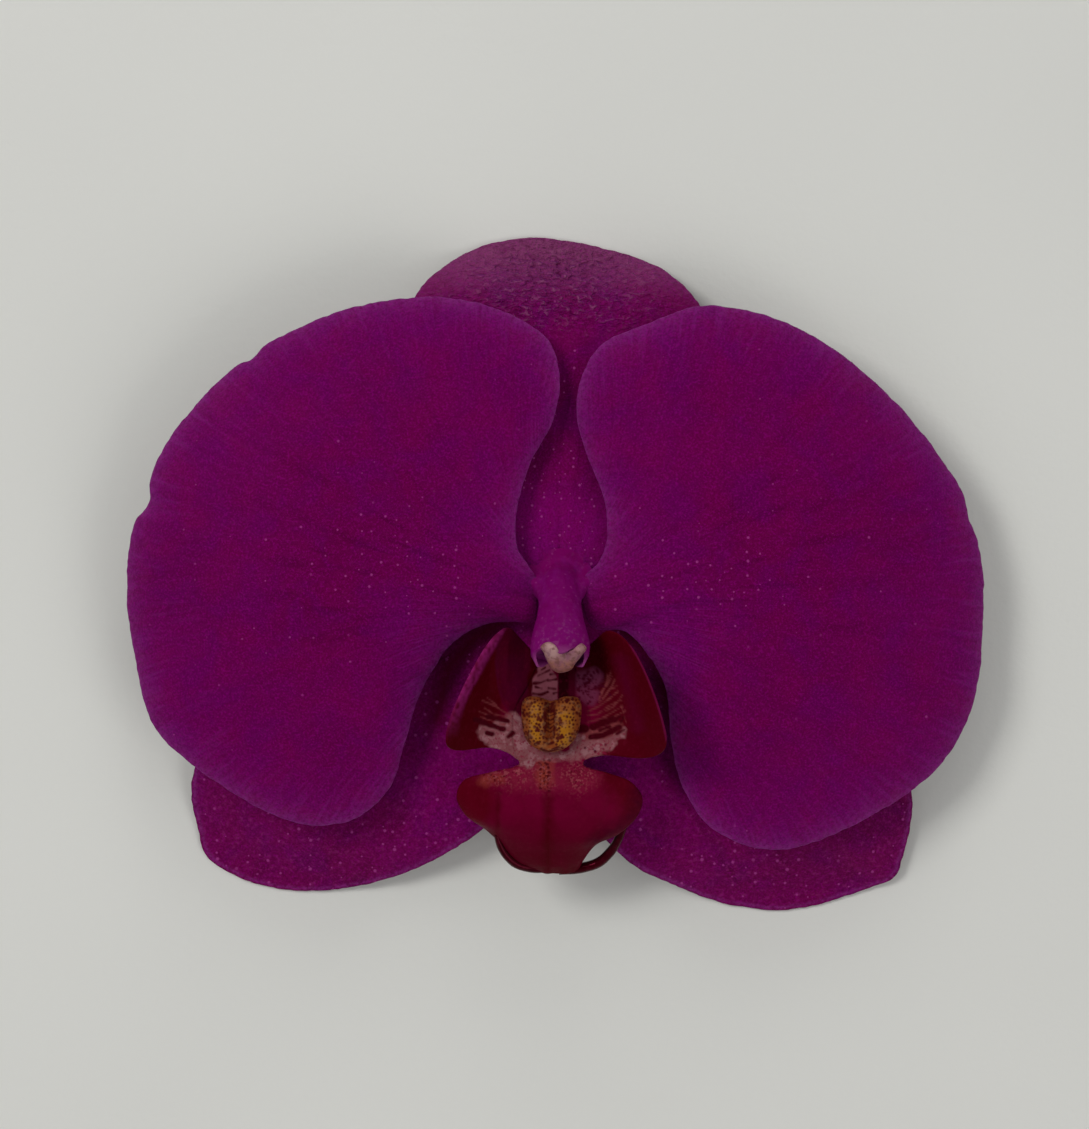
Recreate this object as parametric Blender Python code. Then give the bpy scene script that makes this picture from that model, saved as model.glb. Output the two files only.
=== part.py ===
"""A moth orchid bloom, picked from its stem and lying on its back, so that its lip and column face up.

+Z is up, +Y points along the dorsal sepal, and +X to the right petal as the bloom is looked down on.
The origin is on the surface that the bloom lies on, below the middle of its outline.
Points are in millimetres for a bloom of the traced width, and MM turns them into metres.
"""

import math

import bmesh
import bpy
from mathutils import Matrix, Vector

# Driving dimensions
BLOOM_WIDTH = 0.1006  # across the two petals, in metres; every other size is in millimetres
TRACED_WIDTH_MM = 100.6  # the width that the points below were drawn for
MM = BLOOM_WIDTH / TRACED_WIDTH_MM
PETAL_CELLS = 22  # the petals' grid, each way
SEPAL_CELLS = 16
PETAL_THICKNESS = 0.7
RIM_INSET = 0.3  # the thickness of a sloping rim reaches this far past its middle
PETAL_CROWN = 2.4  # powers of the domes: how near to the rim a blade bends down
SEPAL_CROWN = 2.0
LIP_THICKNESS = 0.7
SEAT_GAP = 0.3  # between a piece and what carries it
SURFACE_Z = 0.0
PRESS = 0.06  # how far a sepal's own weight flattens its tip against the surface

COLUMN_X = 0.5  # the column leans a little to the right of the middle
BASE_Y = -1.6  # where the ovary's top stands, under the column
BASE_Z = 9.3
COLUMN_TIP = (COLUMN_X, -9.2, 18.9)

MAGENTA = (0.16, 0.002, 0.09)
PALE_MAGENTA = (0.22, 0.012, 0.13)
CRIMSON = (0.12, 0.001, 0.016)
CREAM = (0.55, 0.42, 0.40)
YELLOW = (0.55, 0.27, 0.02)
WAX_YELLOW = (0.80, 0.52, 0.05)
GREEN_PURPLE = (0.16, 0.09, 0.06)

# The petals' and sepals' rims are closed curves through these points, anticlockwise from above,
# each with the height at which the rim lies: high at the claw, low where it meets the surface.
LEFT_PETAL_RIM = [
    (-2.6, -5.9, 12.2), (-2.1, -3.9, 12.2), (-2.1, -0.8, 12.3), (-4.2, 3.0, 12.6),
    (-4.2, 7.9, 12.8), (-2.6, 13.1, 12.6), (-0.1, 18.0, 12.2), (0.6, 22.9, 11.8),
    (-0.8, 27.2, 11.2), (-5.9, 30.5, 10.4), (-11.7, 32.1, 9.8), (-18.3, 32.1, 9.4),
    (-25.1, 30.7, 9.0), (-31.3, 28.1, 8.7), (-33.9, 26.6, 8.6), (-35.6, 24.9, 8.4),
    (-37.0, 24.4, 8.3), (-41.5, 20.4, 7.9), (-45.6, 15.2, 7.5), (-47.5, 10.9, 7.3),
    (-47.7, 8.1, 7.6), (-49.5, 5.6, 7.1), (-50.3, -2.6, 6.9), (-49.1, -11.1, 7.0),
    (-47.0, -18.0, 7.3), (-42.6, -22.4, 7.8), (-36.2, -26.7, 8.3), (-32.7, -28.5, 8.6),
    (-28.0, -29.7, 9.0), (-23.0, -28.6, 9.6), (-19.3, -25.2, 10.3), (-17.5, -19.9, 11.2),
    (-15.7, -14.3, 12.0), (-12.0, -8.4, 12.6), (-7.9, -5.9, 12.7), (-4.9, -5.6, 12.4),
]
LEFT_PETAL_MIDDLE = (-25.0, 3.2, 14.2)
RIGHT_PETAL_RIM = [
    (4.1, -6.3, 12.3), (7.7, -6.9, 12.5), (10.3, -9.9, 12.3), (12.3, -14.1, 11.9),
    (13.1, -19.9, 11.2), (14.6, -24.9, 10.4), (17.6, -29.4, 9.6), (22.1, -31.9, 9.0),
    (26.7, -32.4, 8.6), (31.8, -31.0, 8.3), (36.7, -28.6, 8.0), (41.3, -25.9, 7.7),
    (45.5, -22.0, 7.4), (48.2, -17.6, 7.2), (49.7, -11.9, 7.0), (50.2, -6.1, 6.9),
    (50.3, -0.8, 6.9), (49.5, 4.0, 7.1), (48.5, 6.4, 7.5), (48.0, 8.9, 7.3),
    (45.5, 13.0, 7.4), (40.8, 18.9, 7.8), (35.0, 24.4, 8.2), (28.1, 28.8, 8.7),
    (22.0, 30.8, 9.1), (16.6, 31.2, 9.5), (10.4, 29.1, 10.0), (5.5, 26.9, 10.5),
    (2.9, 22.9, 11.0), (2.4, 17.9, 11.5), (3.6, 13.6, 12.0), (5.4, 8.7, 12.4),
    (5.8, 4.4, 12.5), (4.9, 1.4, 12.4), (3.1, -0.8, 12.3), (3.1, -3.9, 12.2),
]
RIGHT_PETAL_MIDDLE = (25.5, 1.0, 14.0)
DORSAL_SEPAL_RIM = [
    (3.3, -0.7, 10.4), (5.4, -0.8, 10.4), (7.6, 2.4, 10.3), (11.6, 8.5, 9.8), (15.7, 15.5, 9.0),
    (18.3, 22.5, 7.9), (18.5, 27.8, 6.6), (17.0, 31.7, 4.9), (14.4, 34.6, 3.0),
    (11.2, 36.9, 0.8), (6.7, 38.4, -2.2), (0.8, 39.7, -3.6), (-4.2, 39.9, -3.4),
    (-8.5, 39.0, -1.4), (-12.4, 36.9, 1.6), (-15.9, 33.8, 4.0), (-17.9, 29.6, 6.0),
    (-18.2, 24.9, 7.4), (-16.7, 17.8, 8.6), (-12.0, 9.4, 9.6), (-6.8, 2.4, 10.3),
    (-4.4, -0.8, 10.4), (-2.3, -0.7, 10.4), (-1.2, 0.5, 10.4), (0.5, 1.0, 10.4), (2.2, 0.5, 10.4),
]
DORSAL_SEPAL_MIDDLE = (0.2, 23.0, 9.0)
LEFT_LATERAL_RIM = [
    (0.3, -4.3, 10.4), (-0.8, -3.9, 10.4), (-1.6, -3.2, 10.4), (-2.1, -2.0, 10.4), (-3.6, -1.6, 10.4),
    (-6.4, -3.0, 10.0), (-11.7, -6.6, 9.0), (-19.3, -10.1, 7.6), (-27.6, -13.2, 6.2),
    (-35.3, -16.3, 4.8), (-41.3, -20.3, 3.2), (-43.2, -25.1, 1.8), (-42.8, -29.5, 0.0),
    (-41.6, -33.6, -2.0), (-39.3, -35.5, -2.8), (-34.1, -37.4, -2.8), (-28.1, -37.9, -1.2),
    (-21.3, -36.8, 1.2),
    (-14.8, -34.3, 3.2), (-9.1, -30.7, 4.8), (-5.9, -27.8, 6.0), (-3.2, -23.6, 7.2),
    (-1.3, -18.9, 8.2), (-0.4, -13.6, 9.3), (0.0, -8.3, 10.2),
]
LEFT_LATERAL_MIDDLE = (-21.0, -22.5, 6.4)
RIGHT_LATERAL_RIM = [
    (0.7, -4.3, 10.4), (1.0, -8.3, 10.2), (1.2, -13.6, 9.3), (1.7, -18.9, 8.2),
    (3.1, -25.4, 6.8), (5.0, -30.2, 5.2), (8.2, -33.9, 3.6), (13.8, -37.0, 1.8),
    (20.1, -39.4, -0.8), (26.1, -40.2, -2.6), (31.4, -39.5, -2.6), (36.8, -37.7, -1.0),
    (40.4, -36.1, 0.8), (41.1, -34.2, 1.4), (42.1, -30.4, 1.8), (42.3, -25.7, 2.2),
    (40.6, -21.5, 3.2), (36.4, -17.7, 4.8), (29.8, -14.4, 6.4), (22.1, -11.0, 7.8),
    (14.5, -7.8, 9.0), (8.1, -3.8, 10.0), (4.6, -1.6, 10.4), (3.1, -2.0, 10.4), (2.6, -3.2, 10.4),
    (1.8, -3.9, 10.4),
]
RIGHT_LATERAL_MIDDLE = (21.5, -23.5, 6.2)

# The lip's floor runs from the column's foot under the callus to the tip of its front lobe. Each row
# is a station: the left edge, the midline and the right edge.
LIP_FLOOR = [
    ((-1.5, -8.2, 12.2), (0.2, -8.2, 12.1), (1.9, -8.2, 12.2)),
    ((-2.0, -10.4, 13.3), (0.1, -10.4, 13.1), (2.1, -10.4, 13.3)),
    ((-3.2, -13.0, 14.6), (-0.2, -13.0, 14.5), (2.8, -13.0, 14.6)),
    ((-4.6, -15.5, 15.2), (-0.5, -15.5, 15.2), (3.6, -15.5, 15.2)),
    ((-4.9, -18.5, 15.3), (-0.5, -18.5, 15.3), (3.9, -18.5, 15.3)),
    ((-4.6, -20.8, 15.3), (-0.5, -20.8, 15.3), (3.6, -20.8, 15.3)),
    ((-4.2, -21.9, 15.1), (-0.6, -22.0, 15.2), (3.2, -22.0, 15.1)),
    ((-7.2, -22.8, 14.4), (-0.7, -23.4, 15.1), (5.8, -22.9, 14.3)),
    ((-10.6, -23.9, 13.3), (-0.8, -25.2, 14.9), (8.4, -24.1, 13.0)),
    ((-11.4, -25.8, 12.7), (-0.8, -27.0, 14.4), (9.5, -26.0, 12.3)),
    ((-10.4, -27.9, 12.2), (-0.8, -28.8, 13.6), (8.9, -28.2, 11.8)),
    ((-8.3, -29.4, 11.4), (-0.8, -30.6, 12.5), (6.6, -29.8, 11.2)),
    ((-7.1, -31.2, 10.2), (-0.8, -32.3, 11.0), (4.4, -31.4, 10.2)),
    ((-6.2, -33.2, 8.8), (-0.8, -33.9, 9.5), (3.5, -33.2, 8.9)),
    ((-3.6, -34.6, 7.9), (-0.7, -34.9, 8.1), (2.4, -34.7, 7.9)),
]
# Each side lobe stands up from the floor's edge: the root, the belly and the free edge.
LEFT_SIDE_LOBE = [
    ((-2.1, -9.8, 13.1), (-4.4, -7.6, 14.6), (-6.0, -6.0, 17.2)),
    ((-3.0, -12.6, 14.3), (-6.9, -11.4, 16.0), (-9.0, -10.4, 20.0)),
    ((-4.3, -15.4, 15.0), (-8.9, -15.4, 16.8), (-11.6, -15.6, 21.6)),
    ((-4.6, -18.4, 15.1), (-9.1, -18.6, 16.6), (-12.1, -19.2, 20.9)),
    ((-4.4, -21.4, 15.1), (-8.6, -20.6, 16.2), (-11.5, -20.4, 19.4)),
]
RIGHT_SIDE_LOBE = [
    ((2.1, -9.8, 13.1), (4.9, -7.8, 14.6), (6.6, -6.2, 17.2)),
    ((2.6, -12.6, 14.3), (7.1, -11.4, 16.0), (9.6, -10.4, 20.0)),
    ((3.3, -15.4, 15.0), (8.5, -15.4, 16.8), (11.7, -15.6, 21.6)),
    ((3.6, -18.4, 15.1), (8.8, -18.6, 16.6), (12.3, -19.4, 20.9)),
    ((3.4, -21.4, 15.1), (8.0, -21.2, 16.2), (11.4, -21.2, 19.2)),
]
# A horn springs from each side of the front lobe's tip and curls back beside its edge.
LEFT_HORN = [
    (-1.5, -34.6, 7.7), (-3.8, -34.2, 7.6), (-5.7, -33.2, 7.9), (-6.8, -31.6, 8.8), (-7.2, -29.9, 9.9),
]
RIGHT_HORN = [
    (0.4, -34.6, 7.7), (3.4, -34.5, 7.6), (5.2, -33.9, 7.9), (6.7, -32.5, 8.6), (7.5, -30.9, 9.4),
    (8.1, -29.3, 10.2), (8.6, -27.7, 11.0),
]
HORN_RADIUS = 0.55
HORN_TAPER = 0.25  # how much thinner its tip is
HORN_RINGS = 14

# The callus: a pad with two ridges at the lip's throat.
CALLUS_RIM = [
    (-3.4, -19.4), (-2.0, -20.6), (-0.5, -20.9), (1.0, -20.5), (2.3, -19.0), (2.9, -16.6),
    (2.7, -14.4), (1.2, -14.1), (-0.5, -14.6), (-2.2, -14.1), (-3.6, -14.4), (-3.9, -16.8),
]
CALLUS_MIDDLE = (-0.5, -17.2)
CALLUS_BOTTOM_Z = 15.3 + LIP_THICKNESS / 2 + SEAT_GAP
CALLUS_HEIGHT = 2.2
CALLUS_CELLS = 12
CALLUS_RIM_HEIGHT = 0.3
CALLUS_RIDGE_X = 1.7  # from the groove to each ridge
CALLUS_GROOVE = 0.38  # the groove's depth as a share of the ridges' height

# The column leans forward from the ovary's top: each row is y, z, half width and half depth.
COLUMN_SECTIONS = [
    (BASE_Y, BASE_Z, 2.6, 2.6),
    (BASE_Y, 11.0, 2.6, 2.5),
    (-1.9, 12.5, 2.5, 2.3),
    (-3.2, 14.1, 2.4, 2.1),
    (-5.0, 15.7, 2.5, 2.1),
    (-6.9, 17.1, 3.0, 2.1),
    (-8.3, 18.2, 3.2, 2.0),
    (COLUMN_TIP[1], COLUMN_TIP[2], 2.8, 1.8),
]
FOOT_START = (COLUMN_X, -3.2, 12.1)
FOOT_END = (0.3, -7.8, 12.0)
FOOT_HALF_WIDTH = 1.7
FOOT_HALF_DEPTH = 0.7

CAP_HALF_WIDTH = 2.9
CAP_HALF_HEIGHT = 1.7
CAP_DEPTH = 2.0
CAP_WALL = 0.5
CAP_SHOULDERS = 0.25  # how much broader the cap is above its middle
CAP_BEAK = 0.15  # how much further it stands out below its middle
POLLINIUM_RADIUS = 0.5
POLLINIUM_SPREAD = 0.55  # from the middle to each pollinium's centre
STRAP = (1.5, 0.9, 0.3)  # width, length and thickness

# The ovary and its stalk: each row is x, y, z and radius, from the column's base to the cut end.
PEDICEL_SECTIONS = [
    (COLUMN_X, BASE_Y, BASE_Z - SEAT_GAP, 2.4),
    (COLUMN_X, -1.6, 7.4, 2.1),
    (COLUMN_X, -0.6, 5.0, 1.9),
    (COLUMN_X, 1.6, 3.1, 1.85),
    (0.6, 5.2, 2.15, 1.8),
    (0.9, 11.0, 2.0, 1.75),
    (1.4, 19.0, 1.95, 1.65),
    (2.0, 27.0, 1.95, 1.6),
]
PEDICEL_RIBS = 3
PEDICEL_RIB_DEPTH = 0.06  # of the radius


def material(name, colour, roughness):
    """A plain surface in the piece's colour."""
    made = bpy.data.materials.new(name)
    made.use_nodes = True
    shader = made.node_tree.nodes["Principled BSDF"]
    shader.inputs["Base Color"].default_value = (*colour, 1.0)
    shader.inputs["Roughness"].default_value = roughness
    shader.inputs["Metallic"].default_value = 0.0
    return made


def node_from(name, bm, surface):
    """Turns a bmesh in millimetres into a named object in metres."""
    bmesh.ops.scale(bm, vec=(MM, MM, MM), verts=bm.verts)
    mesh = bpy.data.meshes.new(name)
    bm.to_mesh(mesh)
    bm.free()
    mesh.materials.append(surface)
    mesh.shade_smooth()
    node = bpy.data.objects.new(name, mesh)
    bpy.context.scene.collection.objects.link(node)
    return node


def thicken(node, thickness):
    """Gives a sheet its thickness, half to each side."""
    solid = node.modifiers.new("Thickness", "SOLIDIFY")
    solid.thickness = thickness * MM
    solid.offset = 0.0


def applied(node):
    """Turns what the node's modifiers make into its own mesh."""
    graph = bpy.context.evaluated_depsgraph_get()
    mesh = bpy.data.meshes.new_from_object(node.evaluated_get(graph))
    node.modifiers.clear()
    node.data = mesh
    mesh.name = node.name
    return mesh


def joined(node, others):
    """Unites other bodies with the node, and removes them."""
    group = bpy.data.collections.new(node.name + "_parts")
    bpy.context.scene.collection.children.link(group)
    for other in others:
        bpy.context.scene.collection.objects.unlink(other)
        group.objects.link(other)
    union = node.modifiers.new("Union", "BOOLEAN")
    union.operation = "UNION"
    union.operand_type = "COLLECTION"
    union.collection = group
    union.solver = "EXACT"
    applied(node)
    for other in others:
        bpy.data.objects.remove(other)
    bpy.data.collections.remove(group)
    return node


def between(before, start, end, after, share):
    """A point from start to end on the smooth curve through all four."""
    knots = [0.0]
    for first, second in ((before, start), (start, end), (end, after)):
        knots.append(knots[-1] + max((second - first).length, 1e-6) ** 0.5)
    place = knots[1] + share * (knots[2] - knots[1])

    def mix(first, second, low, high):
        return first.lerp(second, (place - knots[low]) / (knots[high] - knots[low]))

    near = mix(mix(before, start, 0, 1), mix(start, end, 1, 2), 0, 2)
    far = mix(mix(start, end, 1, 2), mix(end, after, 2, 3), 1, 3)
    return mix(near, far, 1, 2)


def along(points, place):
    """The point on the open curve through these points, with place 0 at the first and 1 at the last."""
    line = [Vector(point) for point in points]
    line = [2 * line[0] - line[1], *line, 2 * line[-1] - line[-2]]
    run = place * (len(points) - 1)
    step = min(int(run), len(points) - 2)
    return between(*line[step:step + 4], run - step)


def rim_curve(points, samples=8):
    """A function that reads the closed curve through the points by its share of the whole length."""
    rim = [Vector(point) for point in points]
    count = len(rim)
    line = []
    for step in range(count):
        corners = [rim[(step + shift) % count] for shift in (-1, 0, 1, 2)]
        line += [between(*corners, sample / samples) for sample in range(samples)]
    line.append(line[0])
    reached = [0.0]
    for first, second in zip(line, line[1:]):
        reached.append(reached[-1] + (second - first).length)

    def at(share):
        wanted = (share % 1.0) * reached[-1]
        step = next(i for i in range(len(reached) - 1) if reached[i + 1] >= wanted)
        past = (wanted - reached[step]) / (reached[step + 1] - reached[step])
        return line[step].lerp(line[step + 1], past)

    return at


def disc_place(x, y):
    """Where a point of the square from -1 to 1 falls on the disc: its radius and its share of a turn."""
    across = x * math.sqrt(1 - y * y / 2)
    up = y * math.sqrt(1 - x * x / 2)
    return math.hypot(across, up), math.atan2(up, across) / math.tau


def split_faces(bm):
    """Splits every face into triangles, so that both sides of a thickened sheet match."""
    bmesh.ops.triangulate(bm, faces=bm.faces, quad_method="SHORT_EDGE")


def blade(name, rim, middle, cells, surface, crown, turn):
    """A petal or sepal: a square grid drawn out to its rim, domed at the middle and flat where it lies.

    crown is the dome's power: the higher it is, the nearer to the rim the blade bends down. turn is the
    share of the rim's length that lies between its first point and the grid's +X side.
    """
    at = rim_curve(rim)
    centre = Vector(middle)
    lowest = SURFACE_Z + PETAL_THICKNESS / 2 - PRESS
    bm = bmesh.new()
    bmesh.ops.create_grid(bm, x_segments=cells, y_segments=cells, size=1.0)
    for vert in bm.verts:
        radius, share = disc_place(vert.co.x, vert.co.y)
        edge = at(share + turn)
        place = centre.lerp(edge, radius * (1 - RIM_INSET / (edge - centre).length))
        place.z = max(centre.z + (edge.z - centre.z) * radius**crown, lowest)
        vert.co = place
    split_faces(bm)
    node = node_from(name, bm, surface)
    thicken(node, PETAL_THICKNESS)
    for vert in applied(node).vertices:
        vert.co.z = max(vert.co.z, SURFACE_Z)
    return node


def strip(name, stations, cells_along, cells_across, surface):
    """A sheet through stations of three points each, curved across from edge to edge."""
    first_edge, middle, last_edge = (list(line) for line in zip(*stations))
    bm = bmesh.new()
    bmesh.ops.create_grid(bm, x_segments=cells_across, y_segments=cells_along, size=1.0)
    for vert in bm.verts:
        across, place = vert.co.x, (vert.co.y + 1) / 2
        left, centre, right = (along(line, place) for line in (first_edge, middle, last_edge))
        vert.co = centre + across * (right - left) / 2 + across * across * ((left + right) / 2 - centre)
    split_faces(bm)
    node = node_from(name, bm, surface)
    thicken(node, LIP_THICKNESS)
    return node


def loft(name, centres, half_sizes, sides, surface, across, shape=None):
    """A closed body through oval rings, whose half width runs along across and half depth square to it."""
    bm = bmesh.new()
    rings = []
    last = len(centres) - 1
    for step, centre in enumerate(centres):
        tangent = (centres[min(step + 1, last)] - centres[max(step - 1, 0)]).normalized()
        wide = (across - across.dot(tangent) * tangent).normalized()
        deep = tangent.cross(wide)
        half_width, half_depth = half_sizes[step]
        placing = Matrix((wide * half_width, deep * half_depth, tangent)).transposed().to_4x4()
        placing.translation = centre
        made = bmesh.ops.create_circle(bm, segments=sides, radius=1.0)["verts"]
        if shape:
            for vert in made:
                vert.co *= shape(math.atan2(vert.co.y, vert.co.x))
        bmesh.ops.transform(bm, matrix=placing, verts=made)
        bm.edges.ensure_lookup_table()
        rings.append(bm.edges[-sides:])
    for below, above in zip(rings, rings[1:]):
        bmesh.ops.bridge_loops(bm, edges=below + above)
    bmesh.ops.holes_fill(bm, edges=rings[0] + rings[-1], sides=sides)
    bmesh.ops.recalc_face_normals(bm, faces=bm.faces)
    return node_from(name, bm, surface)


def evenly(sections, count):
    """Reads this many even steps from the curve through the sections, as points and pairs of half sizes."""
    places = [step / (count - 1) for step in range(count)]
    centres = [along([row[0] for row in sections], place) for place in places]
    sizes = [along([row[1] for row in sections], place) for place in places]
    return centres, [(size.x, size.y) for size in sizes]


def column(surface):
    """The column, with its foot reaching forward to carry the lip."""
    sections = [((COLUMN_X, y, z), (wide, deep, 0)) for y, z, wide, deep in COLUMN_SECTIONS]
    centres, sizes = evenly(sections, 16)
    body = loft("column", centres, sizes, 20, surface, Vector((1, 0, 0)))
    start, end = Vector(FOOT_START), Vector(FOOT_END)
    centres = [start.lerp(end, step / 3) for step in range(4)]
    foot = loft("foot", centres, [(FOOT_HALF_WIDTH, FOOT_HALF_DEPTH)] * 4, 16, surface, Vector((1, 0, 0)))
    return joined(body, [foot])


def tip_frame():
    """The frame at the column's tip: width, the column's upper side, and straight out of the tip."""
    (y_before, z_before), (y_tip, z_tip) = (row[:2] for row in COLUMN_SECTIONS[-2:])
    out = Vector((0, y_tip - y_before, z_tip - z_before)).normalized()
    wide = Vector((1, 0, 0))
    upper = out.cross(wide)
    frame = Matrix((wide, upper, out)).transposed().to_4x4()
    frame.translation = Vector(COLUMN_TIP) + out * SEAT_GAP
    return frame


def anther_cap(surface):
    """A small hollow cap over the pollinia, widest at its upper corners and drawn to a beak below."""
    bm = bmesh.new()
    bmesh.ops.create_uvsphere(bm, u_segments=20, v_segments=12, radius=1.0)
    every = bm.verts[:] + bm.edges[:] + bm.faces[:]
    equator = {"plane_co": (0, 0, 0), "plane_no": (0, 0, 1)}
    bmesh.ops.bisect_plane(bm, geom=every, dist=1e-5, clear_inner=True, **equator)
    for vert in bm.verts:
        x, y, z = vert.co
        shoulder = 0.82 + CAP_SHOULDERS * y
        vert.co = (CAP_HALF_WIDTH * x * shoulder, CAP_HALF_HEIGHT * y, CAP_DEPTH * z * (1 - CAP_BEAK * y))
    split_faces(bm)
    bmesh.ops.transform(bm, matrix=tip_frame(), verts=bm.verts)
    node = node_from("anther_cap", bm, surface)
    wall = node.modifiers.new("Wall", "SOLIDIFY")
    wall.thickness = CAP_WALL * MM
    wall.offset = -1.0
    return node


def pollinarium(surface):
    """The two pollinia on their strap, inside the cap and just clear of the column's tip."""
    placing = tip_frame()
    parts = []
    for side in (-1, 1):
        bm = bmesh.new()
        bmesh.ops.create_uvsphere(bm, u_segments=12, v_segments=8, radius=POLLINIUM_RADIUS)
        shift = (side * POLLINIUM_SPREAD, 0.1, STRAP[2] / 2 + POLLINIUM_RADIUS * 0.8)
        bmesh.ops.translate(bm, vec=shift, verts=bm.verts)
        bmesh.ops.transform(bm, matrix=placing, verts=bm.verts)
        parts.append(node_from(f"pollinium_{side}", bm, surface))
    bm = bmesh.new()
    bmesh.ops.create_cube(bm, size=1.0)
    bmesh.ops.scale(bm, vec=STRAP, verts=bm.verts)
    bmesh.ops.translate(bm, vec=(0, 0, STRAP[2] / 2), verts=bm.verts)
    bmesh.ops.transform(bm, matrix=placing, verts=bm.verts)
    return joined(node_from("pollinarium", bm, surface), parts)


def lip(surface):
    """The lip grown as one piece: floor and front lobe, two side lobes, and two horns at the tip."""
    floor = strip("lip", LIP_FLOOR, 30, 12, surface)
    lobes = [
        strip("left_side_lobe", LEFT_SIDE_LOBE, 14, 8, surface),
        strip("right_side_lobe", RIGHT_SIDE_LOBE, 14, 8, surface),
    ]
    horns = []
    for side, path in (("left", LEFT_HORN), ("right", RIGHT_HORN)):
        places = [step / (HORN_RINGS - 1) for step in range(HORN_RINGS)]
        centres = [along(path, place) for place in places]
        sizes = [(HORN_RADIUS - HORN_TAPER * place**2,) * 2 for place in places]
        horns.append(loft(f"{side}_horn", centres, sizes, 8, surface, Vector((0, 0, 1))))
    return joined(floor, lobes + horns)


def callus(surface):
    """The pad at the throat: two rounded ridges with a groove between, flat underneath."""
    at = rim_curve([(x, y, 0) for x, y in CALLUS_RIM])
    centre = Vector((*CALLUS_MIDDLE, 0))
    bm = bmesh.new()
    bmesh.ops.create_grid(bm, x_segments=CALLUS_CELLS, y_segments=CALLUS_CELLS, size=1.0)
    for vert in bm.verts:
        radius, share = disc_place(vert.co.x, vert.co.y)
        place = centre.lerp(at(share), radius)
        off_ridge = (abs(place.x - centre.x) - CALLUS_RIDGE_X) / CALLUS_RIDGE_X
        ridge = 1 - CALLUS_GROOVE * (1 - math.cos(off_ridge * math.pi / 2))
        crown = math.sqrt(max(0.0, 1 - radius**4))
        place.z = CALLUS_BOTTOM_Z + CALLUS_RIM_HEIGHT + (CALLUS_HEIGHT - CALLUS_RIM_HEIGHT) * ridge * crown
        vert.co = place
    top = bm.faces[:]
    grown = bmesh.ops.extrude_face_region(bm, geom=top, use_keep_orig=True)["geom"]
    for item in grown:
        if isinstance(item, bmesh.types.BMVert):
            item.co.z = CALLUS_BOTTOM_Z
    split_faces(bm)
    bmesh.ops.recalc_face_normals(bm, faces=bm.faces)
    return node_from("lip_callus", bm, surface)


def pedicel(surface):
    """The ovary and its stalk, faintly ribbed, bent to lie along the surface under the dorsal sepal."""
    sections = [((x, y, z), (radius, radius, 0)) for x, y, z, radius in PEDICEL_SECTIONS]
    centres, sizes = evenly(sections, 20)

    def ribbed(angle):
        return 1 + PEDICEL_RIB_DEPTH * (math.cos(PEDICEL_RIBS * angle) - 1) / 2

    return loft("pedicel", centres, sizes, 18, surface, Vector((1, 0, 0)), ribbed)


def bloom():
    """Makes every piece of the bloom, from the back to the front."""
    for left_over in list(bpy.data.objects):
        bpy.data.objects.remove(left_over)
    sepal = material("sepal", MAGENTA, 0.45)
    petal = material("petal", MAGENTA, 0.55)
    pedicel(material("pedicel", GREEN_PURPLE, 0.5))
    sepals = {
        "sepal_dorsal": (DORSAL_SEPAL_RIM, DORSAL_SEPAL_MIDDLE, 0.20),
        "sepal_lateral_left": (LEFT_LATERAL_RIM, LEFT_LATERAL_MIDDLE, -0.10),
        "sepal_lateral_right": (RIGHT_LATERAL_RIM, RIGHT_LATERAL_MIDDLE, -0.36),
    }
    for name, (rim, middle, turn) in sepals.items():
        blade(name, rim, middle, SEPAL_CELLS, sepal, SEPAL_CROWN, turn)
    petals = {
        "petal_left": (LEFT_PETAL_RIM, LEFT_PETAL_MIDDLE, 0.05),
        "petal_right": (RIGHT_PETAL_RIM, RIGHT_PETAL_MIDDLE, -0.54),
    }
    for name, (rim, middle, turn) in petals.items():
        blade(name, rim, middle, PETAL_CELLS, petal, PETAL_CROWN, turn)
    column(material("column", PALE_MAGENTA, 0.35))
    anther_cap(material("anther_cap", CREAM, 0.4))
    pollinarium(material("pollinia", WAX_YELLOW, 0.4))
    lip(material("lip", CRIMSON, 0.35))
    callus(material("callus", YELLOW, 0.4))


bloom()
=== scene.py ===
"""The looks of a picked moth orchid bloom that lies on its back, seen from straight above.

Points are in millimetres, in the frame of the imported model, and MM turns them into metres. The
bloom is built from its back to its front: stalk, sepals, petals, column, anther and lip.
"""

import math
import random

import bmesh
import bpy
import numpy as np
from mathutils import Matrix, Vector, noise


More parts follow.
